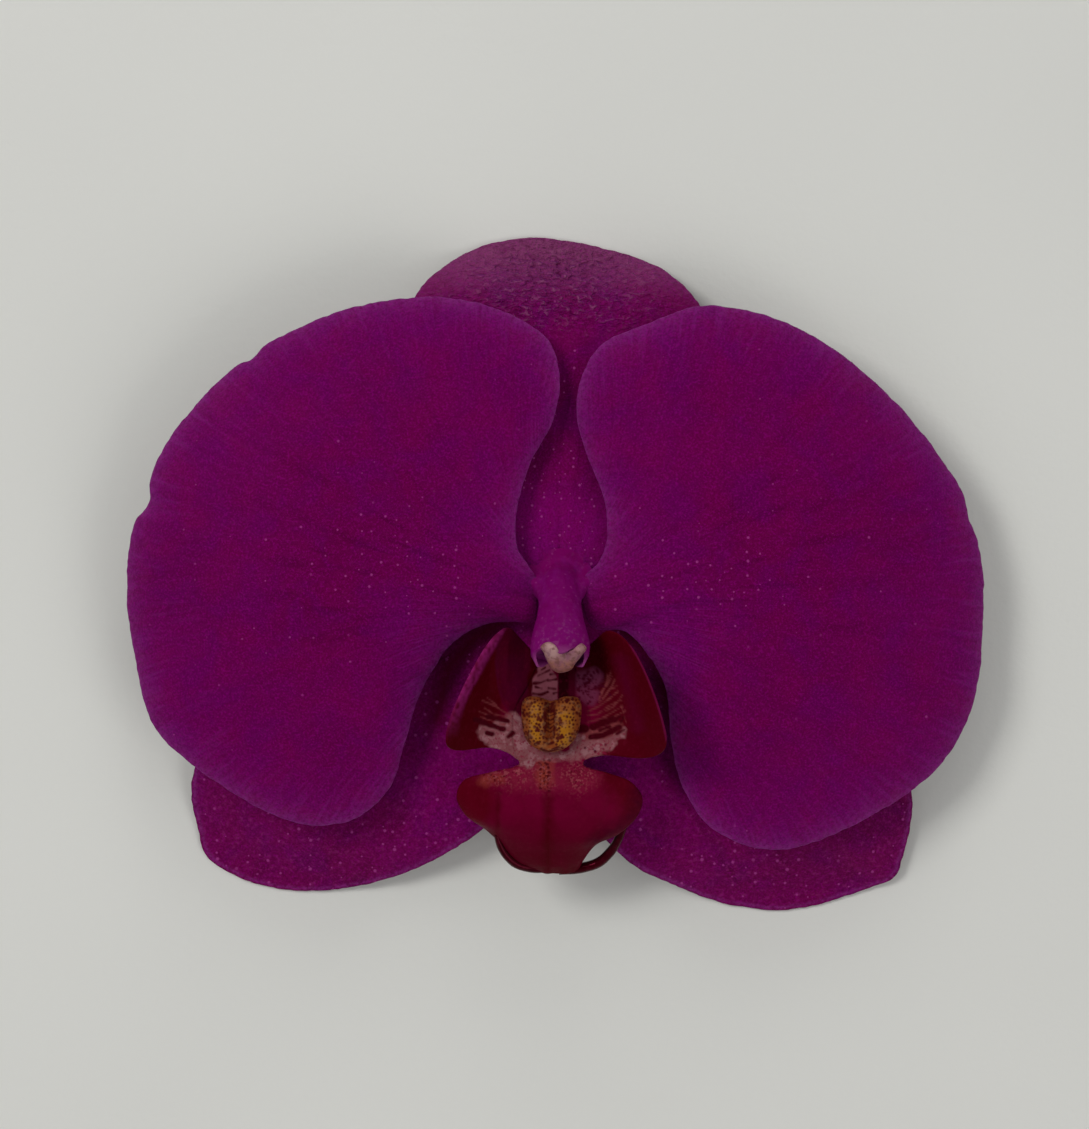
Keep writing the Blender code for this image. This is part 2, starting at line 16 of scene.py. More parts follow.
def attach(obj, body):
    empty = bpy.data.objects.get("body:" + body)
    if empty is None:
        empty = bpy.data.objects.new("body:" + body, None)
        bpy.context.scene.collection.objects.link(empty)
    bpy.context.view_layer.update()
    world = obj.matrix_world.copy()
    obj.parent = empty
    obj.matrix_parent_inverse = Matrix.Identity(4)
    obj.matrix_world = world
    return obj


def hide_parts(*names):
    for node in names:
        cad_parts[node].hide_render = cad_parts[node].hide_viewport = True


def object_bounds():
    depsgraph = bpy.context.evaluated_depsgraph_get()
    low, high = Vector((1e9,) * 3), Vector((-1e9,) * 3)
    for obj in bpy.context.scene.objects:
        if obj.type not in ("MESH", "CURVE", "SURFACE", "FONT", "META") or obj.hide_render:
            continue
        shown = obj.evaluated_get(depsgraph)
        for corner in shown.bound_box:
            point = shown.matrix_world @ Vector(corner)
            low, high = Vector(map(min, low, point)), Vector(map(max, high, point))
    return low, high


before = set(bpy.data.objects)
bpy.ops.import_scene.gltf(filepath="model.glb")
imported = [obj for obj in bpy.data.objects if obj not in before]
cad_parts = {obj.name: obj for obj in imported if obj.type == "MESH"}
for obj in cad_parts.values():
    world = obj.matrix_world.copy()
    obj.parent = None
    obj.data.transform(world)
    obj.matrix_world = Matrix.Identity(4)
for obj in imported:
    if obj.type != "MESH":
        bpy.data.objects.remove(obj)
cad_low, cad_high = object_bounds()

# Camera
# It looks straight down from arm's length, a little left of the bloom's middle, so that the bloom
# fills four fifths of the picture's width.
CAD_WIDTH = 100.47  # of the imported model, in millimetres
MM = (cad_high.x - cad_low.x) / CAD_WIDTH
VIEW_CENTRE = (-1.28, 0.99)
VIEW_HEIGHT = 450.0
SENSOR_LENGTH = 36.0
FRAMED_LENGTH = 131.08  # what the picture's long side takes in, FRAMED_DISTANCE below the camera
FRAMED_DISTANCE = 440.0

lens = bpy.data.cameras.new("camera")
lens.sensor_width = SENSOR_LENGTH
lens.lens = SENSOR_LENGTH * FRAMED_DISTANCE / FRAMED_LENGTH
lens.clip_start = 0.01
lens.clip_end = 10.0
camera = bpy.data.objects.new("camera", lens)
camera.location = (VIEW_CENTRE[0] * MM, VIEW_CENTRE[1] * MM, VIEW_HEIGHT * MM)
bpy.context.scene.collection.objects.link(camera)
bpy.context.scene.camera = camera
bpy.context.scene.view_settings.view_transform = "Standard"


# Surface
# A matt, pale grey sheet of card that the bloom lies on. It is only the stage.
CARD = (0.72, 0.72, 0.67)
CARD_SHADE = (0.6984, 0.6984, 0.6499)
CARD_HALF_WIDTH = 3.0  # in metres
CARD_GAP = 0.05  # below the bloom, so that the two share no plane


def add_node(tree, kind, inputs=None, **settings):
    """Adds a shader node: inputs maps its sockets to values or to other nodes' outputs."""
    node = tree.nodes.new("ShaderNode" + kind)
    for setting, value in settings.items():
        setattr(node, setting, value)
    for socket, value in (inputs or {}).items():
        if isinstance(value, bpy.types.NodeSocket):
            tree.links.new(value, node.inputs[socket])
        else:
            node.inputs[socket].default_value = value
    return node


def mottle(place, scale, detail=2.0, warp=0.0):
    """Soft noise from 0 to 1, with spots of about a metre over the scale."""
    sockets = {"Vector": place, "Scale": scale, "Detail": detail, "Distortion": warp}
    return add_node(place.id_data, "TexNoise", sockets).outputs["Fac"]


def eased(value, low, high, to_low=0.0, to_high=1.0):
    """Takes a value from low to high over to another range, smoothly and without leaving it."""
    sockets = {"Value": value, "From Min": low, "From Max": high, "To Min": to_low, "To Max": to_high}
    return add_node(value.id_data, "MapRange", sockets, interpolation_type="SMOOTHSTEP").outputs["Result"]


def figured(operation, first, *others):
    """One step of arithmetic on a value."""
    sockets = dict(enumerate((first, *others)))
    return add_node(first.id_data, "Math", sockets, operation=operation).outputs[0]


def layered(skin, *layers):
    """Lays colours over a skin. A layer holds its colour and how strongly it shows, from 0 to 1.

    Where more numbers follow, they first ease that value over from one range to another.
    """
    def opaque(tone):
        return tone if isinstance(tone, bpy.types.NodeSocket) else (*tone, 1.0)

    for colour, value, *ranges in layers:
        share = eased(value, *ranges) if ranges else value
        sockets = {0: share, 6: opaque(skin), 7: opaque(colour)}
        skin = add_node(share.id_data, "Mix", sockets, data_type="RGBA").outputs[2]
    return skin


def raised(height, distance, strength=1.0, under=None):
    """Turns a height from 0 to 1 into fine relief, this many millimetres high."""
    sockets = {"Height": height, "Distance": distance * MM, "Strength": strength}
    if under:
        sockets["Normal"] = under
    return add_node(height.id_data, "Bump", sockets).outputs["Normal"]


def finish_of(name, roughness, specular, tint=(1.0, 1.0, 1.0)):
    """A material, its shader and the Object coordinates that its patterns read."""
    made = bpy.data.materials.new(name)
    made.use_nodes = True
    shader = made.node_tree.nodes["Principled BSDF"]
    shader.inputs["Roughness"].default_value = roughness
    shader.inputs["Specular IOR Level"].default_value = specular
    shader.inputs["Specular Tint"].default_value = (*tint, 1.0)
    return made, shader, add_node(made.node_tree, "TexCoord").outputs["Object"]


def coat(shader, colour, relief):
    """Links a material's colour and relief to its shader."""
    shader.id_data.links.new(colour, shader.inputs["Base Color"])
    shader.id_data.links.new(relief, shader.inputs["Normal"])


def worn_by(name, mesh, finishes):
    """Puts a mesh in the scene as an object with these materials."""
    for finish in finishes:
        mesh.materials.append(finish)
    mesh.shade_smooth()
    piece = bpy.data.objects.new(name, mesh)
    bpy.context.scene.collection.objects.link(piece)
    return piece


card, shader, place = finish_of("card", 0.9, 0.1)
shade = layered(CARD, (CARD_SHADE, mottle(place, 14.0), 0.3, 0.7))
coat(shader, shade, raised(mottle(place, 900.0, 4.0), 0.05))
bm = bmesh.new()
bmesh.ops.create_grid(bm, x_segments=1, y_segments=1, size=CARD_HALF_WIDTH)
bmesh.ops.translate(bm, vec=(0, 0, -CARD_GAP * MM), verts=bm.verts)
card_mesh = bpy.data.meshes.new("surface")
bm.to_mesh(card_mesh)
bm.free()
surface = worn_by("surface", card_mesh, [card])


# Light
# Soft daylight: a pale room that is dark right overhead, where the camera is, a window to the
# upper left, a weaker one beyond the dorsal sepal and another to the lower right.
ROOM = (0.48, 0.48, 0.50)
OVERHEAD = (0.10, 0.10, 0.11)
WINDOWS = {
    "window": ((-0.55, 0.35, 0.75), 0.35, 3.8),
    "far_window": ((0.10, 0.90, 0.40), 0.40, 1.4),
    "side_window": ((0.60, -0.55, 0.60), 0.55, 2.2),
}

world = bpy.data.worlds.new("room")
world.use_nodes = True
sky = world.node_tree
height = add_node(sky, "SeparateXYZ", {0: add_node(sky, "TexCoord").outputs["Generated"]}).outputs["Z"]
glow = layered(ROOM, (OVERHEAD, height, 0.75, 0.97))
sky.links.new(glow, sky.nodes["Background"].inputs["Color"])
bpy.context.scene.world = world
for name, (place, side, watts) in WINDOWS.items():
    window = bpy.data.lights.new(name, "AREA")
    window.size = side
    window.energy = watts
    lamp = bpy.data.objects.new(name, window)
    lamp.location = place
    lamp.rotation_euler = (-Vector(place)).to_track_quat("-Z", "Y").to_euler()
    bpy.context.scene.collection.objects.link(lamp)


# Pedicel
# The ovary under the bloom and the stalk that it was picked by: one green body flushed with purple,
# faintly ribbed, bent to lie along the surface, and cut across at its end.
BASE = (0.5, -1.6, 9.0)
PEDICEL_PATH = [
    BASE, (0.5, -1.6, 7.4), (0.5, -0.6, 5.0), (0.5, 1.6, 3.1), (0.6, 5.2, 2.15), (0.9, 11.0, 2.0),
    (1.4, 19.0, 1.95), (2.0, 27.0, 1.95),
]
PEDICEL_RADII = [2.4, 2.1, 1.9, 1.85, 1.8, 1.75, 1.65, 1.6]
PEDICEL_RIBS = 6
GREEN = (0.10, 0.13, 0.035)
PLUM = (0.10, 0.012, 0.045)
PORE_BROWN = (0.05, 0.03, 0.02)


def spline(points, run, closed=False):
    """Reads the smooth curve through the points: run 0 is the first point, 1 the next, 1.5 midway on."""
    line = np.array(points, float)
    last = len(line) - 1
    run = np.asarray(run, float)
    if closed:
        run = run % (last + 1)
        step = np.floor(run).astype(int)
        corners = [line[(step + shift) % (last + 1)] for shift in (-1, 0, 1, 2)]
    else:
        step = np.clip(np.floor(run).astype(int), 0, last - 1)
        line = np.vstack([2 * line[0] - line[1], line, 2 * line[-1] - line[-2]])
        corners = [line[step + shift] for shift in (0, 1, 2, 3)]
    knots = [np.zeros(step.shape)]
    for first, second in zip(corners, corners[1:]):
        knots.append(knots[-1] + np.sqrt(np.maximum(np.linalg.norm(second - first, axis=-1), 1e-6)))
    at = knots[1] + (run - step) * (knots[2] - knots[1])

    def mix(first, second, low, high):
        share = (at - knots[low]) / (knots[high] - knots[low])
        return first + (second - first) * share[..., None]

    sides = [mix(corners[i], corners[i + 1], i, i + 1) for i in range(3)]
    return mix(mix(sides[0], sides[1], 0, 2), mix(sides[1], sides[2], 1, 3), 1, 2)


def loft(path, half_sizes, rings, sides, across, shape=None):
    """A closed skin over oval rings along a path, as a bmesh.

    half_sizes holds each path point's half width, along across, and half depth. shape takes how far
    along a ring is, from 0 to 1, and an angle round it, and returns a factor for the ring's size
    there and how far the skin moves on along the path.
    """
    runs = np.linspace(0, len(path) - 1, rings)
    centres = spline(path, runs)
    sizes = spline([(wide, deep, 0) for wide, deep in half_sizes], runs)
    bm = bmesh.new()
    loops = []
    for step, (centre, size) in enumerate(zip(centres, sizes)):
        onward = Vector(centres[min(step + 1, rings - 1)] - centres[max(step - 1, 0)]).normalized()
        wide = (across - across.dot(onward) * onward).normalized()
        deep = onward.cross(wide)
        for vert in bmesh.ops.create_circle(bm, segments=sides, radius=1.0)["verts"]:
            angle = math.atan2(vert.co.y, vert.co.x)
            factor, ahead = shape(step / (rings - 1), angle) if shape else (1.0, 0.0)
            out = wide * size[0] * math.cos(angle) + deep * size[1] * math.sin(angle)
            vert.co = Vector(centre) + out * factor + onward * ahead
        bm.edges.ensure_lookup_table()
        loops.append(bm.edges[-sides:])
    for below, above in zip(loops, loops[1:]):
        bmesh.ops.bridge_loops(bm, edges=below + above)
    bmesh.ops.holes_fill(bm, edges=loops[0] + loops[-1], sides=sides)
    bmesh.ops.recalc_face_normals(bm, faces=bm.faces)
    return bm


def mesh_from(name, bm):
    """Turns a bmesh in millimetres into a mesh in metres."""
    bmesh.ops.scale(bm, vec=(MM, MM, MM), verts=bm.verts)
    mesh = bpy.data.meshes.new(name)
    bm.to_mesh(mesh)
    bm.free()
    return mesh


def ribbed(along, angle):
    """Faint ribs, small dents and a slightly crushed cut end."""
    rib = 0.035 * math.cos(PEDICEL_RIBS * angle + 2.0 * along)
    dent = 0.03 * noise.noise(Vector((math.cos(angle), math.sin(angle), 9.0 * along)))
    return 1 + rib - 0.035 + dent, 0.12 * noise.noise(Vector((3 * angle, 5, 0))) * (along == 1)


sizes = [(radius, radius) for radius in PEDICEL_RADII]
bm = loft(PEDICEL_PATH, sizes, rings=90, sides=60, across=Vector((1, 0, 0)), shape=ribbed)
ends = [face for face in bm.faces if len(face.verts) > 4]
for share in (0.08, 0.25, 0.35):
    bmesh.ops.inset_individual(bm, faces=ends, thickness=share, depth=0.02)
stalk, shader, place = finish_of("stalk", 0.42, 0.3)
pores = mottle(place, 2600.0)
skin = layered(
    GREEN,
    (PLUM, mottle(place, 160.0, 4.0, 0.4), 0.36, 0.66),
    (PORE_BROWN, pores, 0.4, 0.7, 0.0, 0.35),
)
coat(shader, skin, raised(pores, 0.06))
pedicel = worn_by("pedicel_skin", mesh_from("pedicel_skin", bm), [stalk])
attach(pedicel, "root")
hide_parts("pedicel")


# Dorsal sepal
# The sepal at the back: one soft blade, under a millimetre thick and thinner at its rim, that grows
# from the column's base and bends down until its tip rests on the surface. Its far end is crinkled.
DORSAL = {
    "rim": [
        (3.3, -0.7, 10.4), (5.4, -0.8, 10.4), (7.6, 2.4, 10.3), (11.6, 8.5, 9.8), (15.7, 15.5, 9.0),
        (18.3, 22.5, 7.9), (18.5, 27.8, 6.6), (17.0, 31.7, 4.9), (14.4, 34.6, 3.0), (11.2, 36.9, 0.8),
        (6.7, 38.4, -2.2), (0.8, 39.7, -3.6), (-4.2, 39.9, -3.4), (-8.5, 39.0, -1.4), (-12.4, 36.9, 1.6),
        (-15.9, 33.8, 4.0), (-17.9, 29.6, 6.0), (-18.2, 24.9, 7.4), (-16.7, 17.8, 8.6), (-12.0, 9.4, 9.6),
        (-6.8, 2.4, 10.3), (-4.4, -0.8, 10.4), (-2.3, -0.7, 10.4), (-1.2, 0.5, 10.4), (0.5, 1.0, 10.4),
        (2.2, 0.5, 10.4),
    ],
    "middle": (0.2, 23.0, 9.0),
    "turn": 0.20,
    "claw": ((0.5, -6.0), 90, 46.0),
}
DORSAL_CELLS = 200
SEPAL_CELLS = 150
SEPAL_CROWN = 2.0  # the dome's power: the higher it is, the nearer to the rim the blade bends down
RIM_STEPS = 24  # between two points of a rim
RIM_PACKING = 0.3  # how much closer the grid's rows stand at the rim than in the middle
FAN_NARROWING = 0.55  # how closely the veins stand at the claw, as a share of their spread further out
BLADE_THICKNESS = 0.75
RIM_THICKNESS = 0.5  # of the blade's, which thins over the last THINNING_REACH millimetres
THINNING_REACH = 6.0
AT_RIM = 0.45  # of the thickness there: the very edge is thinned, so that it is round
BESIDE_RIM = 0.9
RIM_INSET = 0.25  # how far the thickness of a sloping rim reaches past its middle
FRILL = 0.09
SETTLING = 0.8  # how softly a blade turns flat where it comes to rest
VEIN_WIDTH = 0.3
VEIN_ORDERS = [(0.0, 0.17), (0.25, 0.085), (0.55, 0.0425)]  # where each forking starts, and its spacing
DEEP_MAGENTA = (0.126, 0.0006, 0.068)
# Lighter than the petals' magenta: painted light that lifts the shade the petals cast on the sepals.
LIT_SEPAL_MAGENTA = (0.172, 0.0006, 0.092)
RED_MAGENTA = (0.122, 0.0006, 0.050)
VIOLET = (0.152, 0.0012, 0.118)
VEIN_MAGENTA = (0.070, 0.0003, 0.028)
# pale lilac: lilac streaks, and painted sheen along the rims
LILAC_AND_RIM_SHEEN = (0.205, 0.026, 0.172)
SPECK_PINK = (0.34, 0.042, 0.225)
# a dusty pink, painted as sheen where a blade bends down
DUSTY_SHEEN_PINK = (0.215, 0.044, 0.128)
# a pale pink painted as highlight on the crinkles' ridges
FOLD_HIGHLIGHT_PINK = (0.27, 0.070, 0.17)
MOTTLE_PINK = (0.27, 0.020, 0.155)
GRAIN_PINK = (0.235, 0.0015, 0.160)
BLUE_MAGENTA = (0.108, 0.0006, 0.098)
WARM_MAGENTA = (0.158, 0.0008, 0.056)
# the crimson of painted shade
SHADE_CRIMSON = (0.095, 0.0005, 0.014)
SEPAL_BACK = (0.16, 0.004, 0.085)


def read_points(mesh):
    """The places of a mesh's vertices, one row each."""
    places = np.empty(len(mesh.vertices) * 3)
    mesh.vertices.foreach_get("co", places)
    return places.reshape(-1, 3)


def swell(across, along, seed):
    """Smooth random swells from about -1 to 1, one unit long, seeded."""
    return np.array([noise.noise((x, y, seed)) for x, y in zip(across, along)])


def bell(value, width):
    """1 where the value is 0, fading out softly as it grows past the width."""
    return np.exp(-((value / width) ** 2))


def patch(plan, x, y, reach, reach_y=None):
    """A soft round or oval patch: 1 at its middle, fading out over its reach."""
    return bell(plan[:, 0] - x, reach) * bell(plan[:, 1] - y, reach_y or reach)


def stroke(plan, width, points, soft=0.12, ragged=0.0):
    """How far each place lies within a stroke drawn through points from above: 1 inside, 0 outside."""
    near = np.full(len(plan), np.inf)
    for start, end in zip(points, points[1:] or points):
        start, run = np.array(start, float), np.subtract(end, start)
        share = np.clip((plan - start) @ run / max(run @ run, 1e-9), 0, 1)
        near = np.minimum(near, np.linalg.norm(plan - start - share[:, None] * run, axis=1))
    if ragged:
        near = near + ragged * swell(plan[:, 0] / 0.7, plan[:, 1] / 0.7, width)
    return np.clip((width / 2 - near) / soft + 0.5, 0, 1)


def ramp(values, low, high):
    """A smooth step from 0 at low to 1 at high."""
    share = np.clip((values - low) / (high - low), 0, 1)
    return share * share * (3 - 2 * share)


def disc_of(square):
    """Rounds a square grid, from -1 to 1, to a disc: each point's radius and its share of a turn."""
    across = square[:, 0] * np.sqrt(1 - square[:, 1] ** 2 / 2)
    up = square[:, 1] * np.sqrt(1 - square[:, 0] ** 2 / 2)
    return np.hypot(across, up), np.arctan2(up, across) / math.tau


def veins(bearing, distance, reach):
    """How near each point is to a vein. They leave the claw side by side and fork on the way out."""
    strength = np.zeros(len(bearing))
    for order, (start, spacing) in enumerate(VEIN_ORDERS):
        drift = 0.35 * spacing * swell(bearing * 9 / (order + 1), distance * 5, 3.0 + order)
        lines = (bearing + drift) / spacing
        off = np.abs(lines - np.round(lines)) * spacing * np.maximum(distance, 0.15) * reach
        grown = np.clip((distance - start) / 0.25, 0, 1) if start else 1.0
        strength = np.maximum(strength, bell(off, VEIN_WIDTH) * grown * (1 - 0.2 * order))
    return strength


def note(mesh, tones):
    """Notes how strongly each tone shows at each of a mesh's points, for its material to read."""
    for tone, values in tones.items():
        mesh.attributes.new(tone, "FLOAT", "POINT").data.foreach_set("value", values)


def noted(place, tone, output="Fac"):
    """Reads in a material what a mesh notes of a tone."""
    return add_node(place.id_data, "Attribute", attribute_name=tone).outputs[output]


def stretched(place, *factors):
    """Coordinates multiplied by a factor along each axis, so that noise over them is drawn out."""
    return add_node(place.id_data, "VectorMath", {0: place, 1: factors}, operation="MULTIPLY").outputs[0]


def thicken(piece, thickness, shares):
    """Gives a sheet its thickness, as a share at each point, and rounds its rim by thinning it."""
    bm = bmesh.new()
    bm.from_mesh(piece.data)
    group = piece.vertex_groups.new(name="thickness")
    for vert, share in zip(bm.verts, shares):
        beside = any(edge.other_vert(vert).is_boundary for edge in vert.link_edges)
        rounded = AT_RIM if vert.is_boundary else BESIDE_RIM if beside else 1.0
        group.add([vert.index], share * rounded, "REPLACE")
    bm.free()
    wall = piece.modifiers.new("Thickness", "SOLIDIFY")
    wall.thickness = thickness * MM
    wall.offset = 0.0
    wall.vertex_group = group.name
    wall.material_offset = len(piece.data.materials) - 1


def blade(name, form, crown, cells, finishes, shaped):
    """A petal or sepal: a square grid drawn out to its rim, domed, and given its thickness.

    form holds the rim, the middle, the share of the rim that lies between its first point and the
    grid's +X side, and the claw: the point that the veins spread from, their main bearing in degrees
    and their reach. shaped takes the places, how far inside the rim and how far round it each point
    is, and its bearing and distance in the fan of veins, and returns the relief and the tones that
    the material reads.
    """
    bm = bmesh.new()
    bmesh.ops.create_grid(bm, x_segments=cells, y_segments=cells, size=1.0)
    mesh = bpy.data.meshes.new(name)
    bm.to_mesh(mesh)
    bm.free()
    radius, share = disc_of(read_points(mesh))
    radius = radius * (1 + RIM_PACKING - RIM_PACKING * radius**2)
    share = (share + form["turn"]) % 1.0

    fine = spline(form["rim"], np.arange(0, len(form["rim"]), 1 / RIM_STEPS), closed=True)
    fine = np.vstack([fine, fine[:1]])
    reached = np.concatenate([[0], np.cumsum(np.linalg.norm(np.diff(fine, axis=0), axis=1))])
    edge = np.column_stack([np.interp(share * reached[-1], reached, fine[:, axis]) for axis in range(3)])
    round_rim = reached[-1] / math.tau * np.array([np.cos(math.tau * share), np.sin(math.tau * share)])

    middle = np.array(form["middle"])
    reach = np.linalg.norm(edge - middle, axis=1)
    inset = RIM_INSET - FRILL * swell(*round_rim / 0.8, 2.5) - FRILL * swell(*round_rim / 2.4, 3.5)
    place = middle + (edge - middle) * (radius * (1 - inset / reach))[:, None]
    place[:, 2] = middle[2] + (edge[:, 2] - middle[2]) * radius**crown
    inside = (1 - radius) * reach
    root, heading, length = form["claw"]
    away = place[:, :2] - root
    ahead = np.array([math.cos(math.radians(heading)), math.sin(math.radians(heading))])
    distance = np.hypot(*away.T) / length
    bearing = np.arctan2(away @ (-ahead[1], ahead[0]), away @ ahead)
    bearing /= FAN_NARROWING + (1 - FAN_NARROWING) * np.minimum(distance, 1)
    vein = veins(bearing, distance, length)
    relief, tones = shaped(place, inside, round_rim, bearing, distance)
    place[:, 2] += relief - 0.02 * vein
    thickness = RIM_THICKNESS + (1 - RIM_THICKNESS) * np.clip(inside / THINNING_REACH, 0, 1) ** 0.7
    lowest = BLADE_THICKNESS * thickness / 2
    place[:, 2] = lowest + SETTLING * np.logaddexp(0, (place[:, 2] - lowest) / SETTLING)
    mesh.vertices.foreach_set("co", (place * MM).ravel())

    corners = np.empty(len(mesh.loops), int)
    mesh.loops.foreach_get("vertex_index", corners)
    fan = mesh.uv_layers.new(name="fan")
    fan.data.foreach_set("uv", np.column_stack((bearing, distance))[corners].ravel())
    note(mesh, {"vein": vein, **tones})
    piece = worn_by(name, mesh, finishes)
    thicken(piece, BLADE_THICKNESS, thickness)
    return piece


def flesh(name, deep, shine, specks=(720.0, 0.12), coarse=0.07, crinkled=False):
    """The skin of a petal or sepal: velvety grain, vein streaks, and its mesh's tones, painted sheen and
    shade among them.

    specks gives how many pale specks fit in a metre, and one's radius in millimetres. coarse is the
    share of the coarser mottling.
    """
    made, shader, place = finish_of(name, 0.55, shine, (0.9, 0.12, 0.7))
    for socket, value in {"Weight": 0.10, "Roughness": 0.35, "Tint": (0.45, 0.02, 0.80, 1.0)}.items():
        shader.inputs["Sheen " + socket].default_value = value
    fan = add_node(place.id_data, "UVMap", uv_map="fan").outputs["UV"]
    streaks = mottle(stretched(fan, 16.0, 5.0, 1.0), 1.0, 4.0)
    hairs = mottle(stretched(fan, 75.0, 9.0, 1.0), 1.0, 3.0)
    grain = mottle(place, 4200.0, 1.0)
    coarser = mottle(place, 1900.0, 2.0)
    hues = mottle(place, 240.0, 5.0, 0.4)

    def masked(tone, value, *ranges):
        return figured("MULTIPLY", eased(value, *ranges), noted(place, tone))

    # The specks are laid out in plan, so that from above they are round everywhere.
    sockets = {"Vector": place, "Scale": specks[0]}
    dots = add_node(place.id_data, "TexVoronoi", sockets, voronoi_dimensions="2D")
    drawn = add_node(place.id_data, "SeparateColor", {0: dots.outputs["Color"]}).outputs
    kept = eased(figured("ADD", drawn["Red"], noted(place, "speck")), 0.97, 1.03, 0.0, 0.70)
    widest = specks[0] * specks[1] * MM
    size = figured("MULTIPLY_ADD", drawn["Green"], 0.65 * widest, 0.35 * widest)
    dot = eased(figured("DIVIDE", dots.outputs["Distance"], size), 0.6, 1.6, 1.0, 0.0)
    skin = layered(
        deep,
        (RED_MAGENTA, mottle(place, 110.0, 4.0), 0.40, 0.64, 0.0, 0.5),
        (VEIN_MAGENTA, mottle(place, 60.0, 3.0), 0.50, 0.70, 0.0, 0.30),
        (RED_MAGENTA, noted(place, "red")),
        (VEIN_MAGENTA, masked("red", streaks, 0.50, 0.65, 0.0, 0.75)),
        (VIOLET, masked("violet", hairs, 0.32, 0.62, 0.4, 1.1)),
        (LILAC_AND_RIM_SHEEN, masked("violet", hairs, 0.52, 0.70, 0.0, 0.35)),
        (BLUE_MAGENTA, hues, 0.50, 0.66, 0.0, 0.35),
        (WARM_MAGENTA, hues, 0.34, 0.50, 0.35, 0.0),
        # Painted sheen in a dusty pink, where a blade bends down towards its end.
        (DUSTY_SHEEN_PINK, noted(place, "dusty_sheen")),
        # The rims: a paler band with painted sheen, and a painted highlight along the very edge.
        (LILAC_AND_RIM_SHEEN, masked("rim", coarser, 0.35, 0.65, 0.6, 1.4)),
        (VEIN_MAGENTA, figured("MULTIPLY", noted(place, "vein"), 0.08)),
        (VEIN_MAGENTA, coarser, 0.28, 0.50, coarse, 0.0),
        (MOTTLE_PINK, coarser, 0.52, 0.74, 0.0, coarse),
        (VEIN_MAGENTA, grain, 0.28, 0.52, 0.34, 0.0),
        (GRAIN_PINK, grain, 0.50, 0.74, 0.0, 0.45),
        # Crimson painted shade, where the mesh notes it.
        (SHADE_CRIMSON, noted(place, "painted_shade")),
        (SPECK_PINK, figured("MULTIPLY", dot, kept)),
    )
    relief = raised(hairs, 0.05, 0.5, raised(grain, 0.08, 0.6))
    relief = raised(coarser, 0.10, coarse, relief)
    if crinkled:
        folds = mottle(stretched(place, 1250.0, 2000.0, 1250.0), 1.0, 3.0, 0.7)
        # On the crinkles, from the same noise as their relief: a painted highlight on the ridges and
        # painted shade in the hollows.
        skin = layered(
            skin,
            (FOLD_HIGHLIGHT_PINK, masked("crinkle", folds, 0.52, 0.72, 0.0, 0.75)),
            (VEIN_MAGENTA, masked("crinkle", folds, 0.30, 0.46, 0.75, 0.0)),
        )
        relief = raised(figured("MULTIPLY", folds, noted(place, "crinkle")), 1.6, 0.9, relief)
    coat(shader, skin, relief)
    return made


def dorsal_shape(place, inside, round_rim, bearing, distance):
    """Crinkles run across its far end, which bends down and is painted with a dusty sheen, and pale specks
    lie thickest near the column.
    """
    x, y = place[:, 0], place[:, 1]
    far = ramp(y, 26, 32) * (1 - 0.5 * ramp(y, 36, 39)) * bell(x, 12)
    crinkle = swell(x / 1.1, y / 0.65, 2.5) + 0.6 * swell(x / 3.2, y / 1.4, 3.5)
    relief = 0.25 * swell(x / 8, y / 8, 1.5) + 0.28 * far * crinkle - 0.3 * np.exp(-inside / 0.9)
    relief -= 0.35 * bell(bearing, 0.06) * np.clip(1 - distance, 0, 1)
    tones = {
        "red": 0.35 * ramp(y, 7, 16) * (1 - ramp(y, 28, 36)),
        "violet": 0.6 * (1 - ramp(y, 2, 12)),
        # the far end, where it bends down, painted with a dusty pink sheen
        "dusty_sheen": ramp(y, 31, 39.5) + 0.10 * patch(place, 0, 34, 14, 3),
        # a pale rim, painted as sheen
        "rim": 0.20 * np.exp(-inside / 0.6),
        "speck": 0.75 * patch(place, 0.5, 7.5, 6, 10) + 0.06,
        "crinkle": far,
    }
    return relief, tones


sepal_face = flesh("sepal_face", LIT_SEPAL_MAGENTA, 0.06, (880.0, 0.14), 0.10, crinkled=True)
sepal_back = flesh("sepal_back", SEPAL_BACK, 0.12)
finishes = [sepal_face, sepal_back]
dorsal = blade("dorsal_sepal", DORSAL, SEPAL_CROWN, DORSAL_CELLS, finishes, dorsal_shape)
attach(dorsal, "root")
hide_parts("sepal_dorsal")


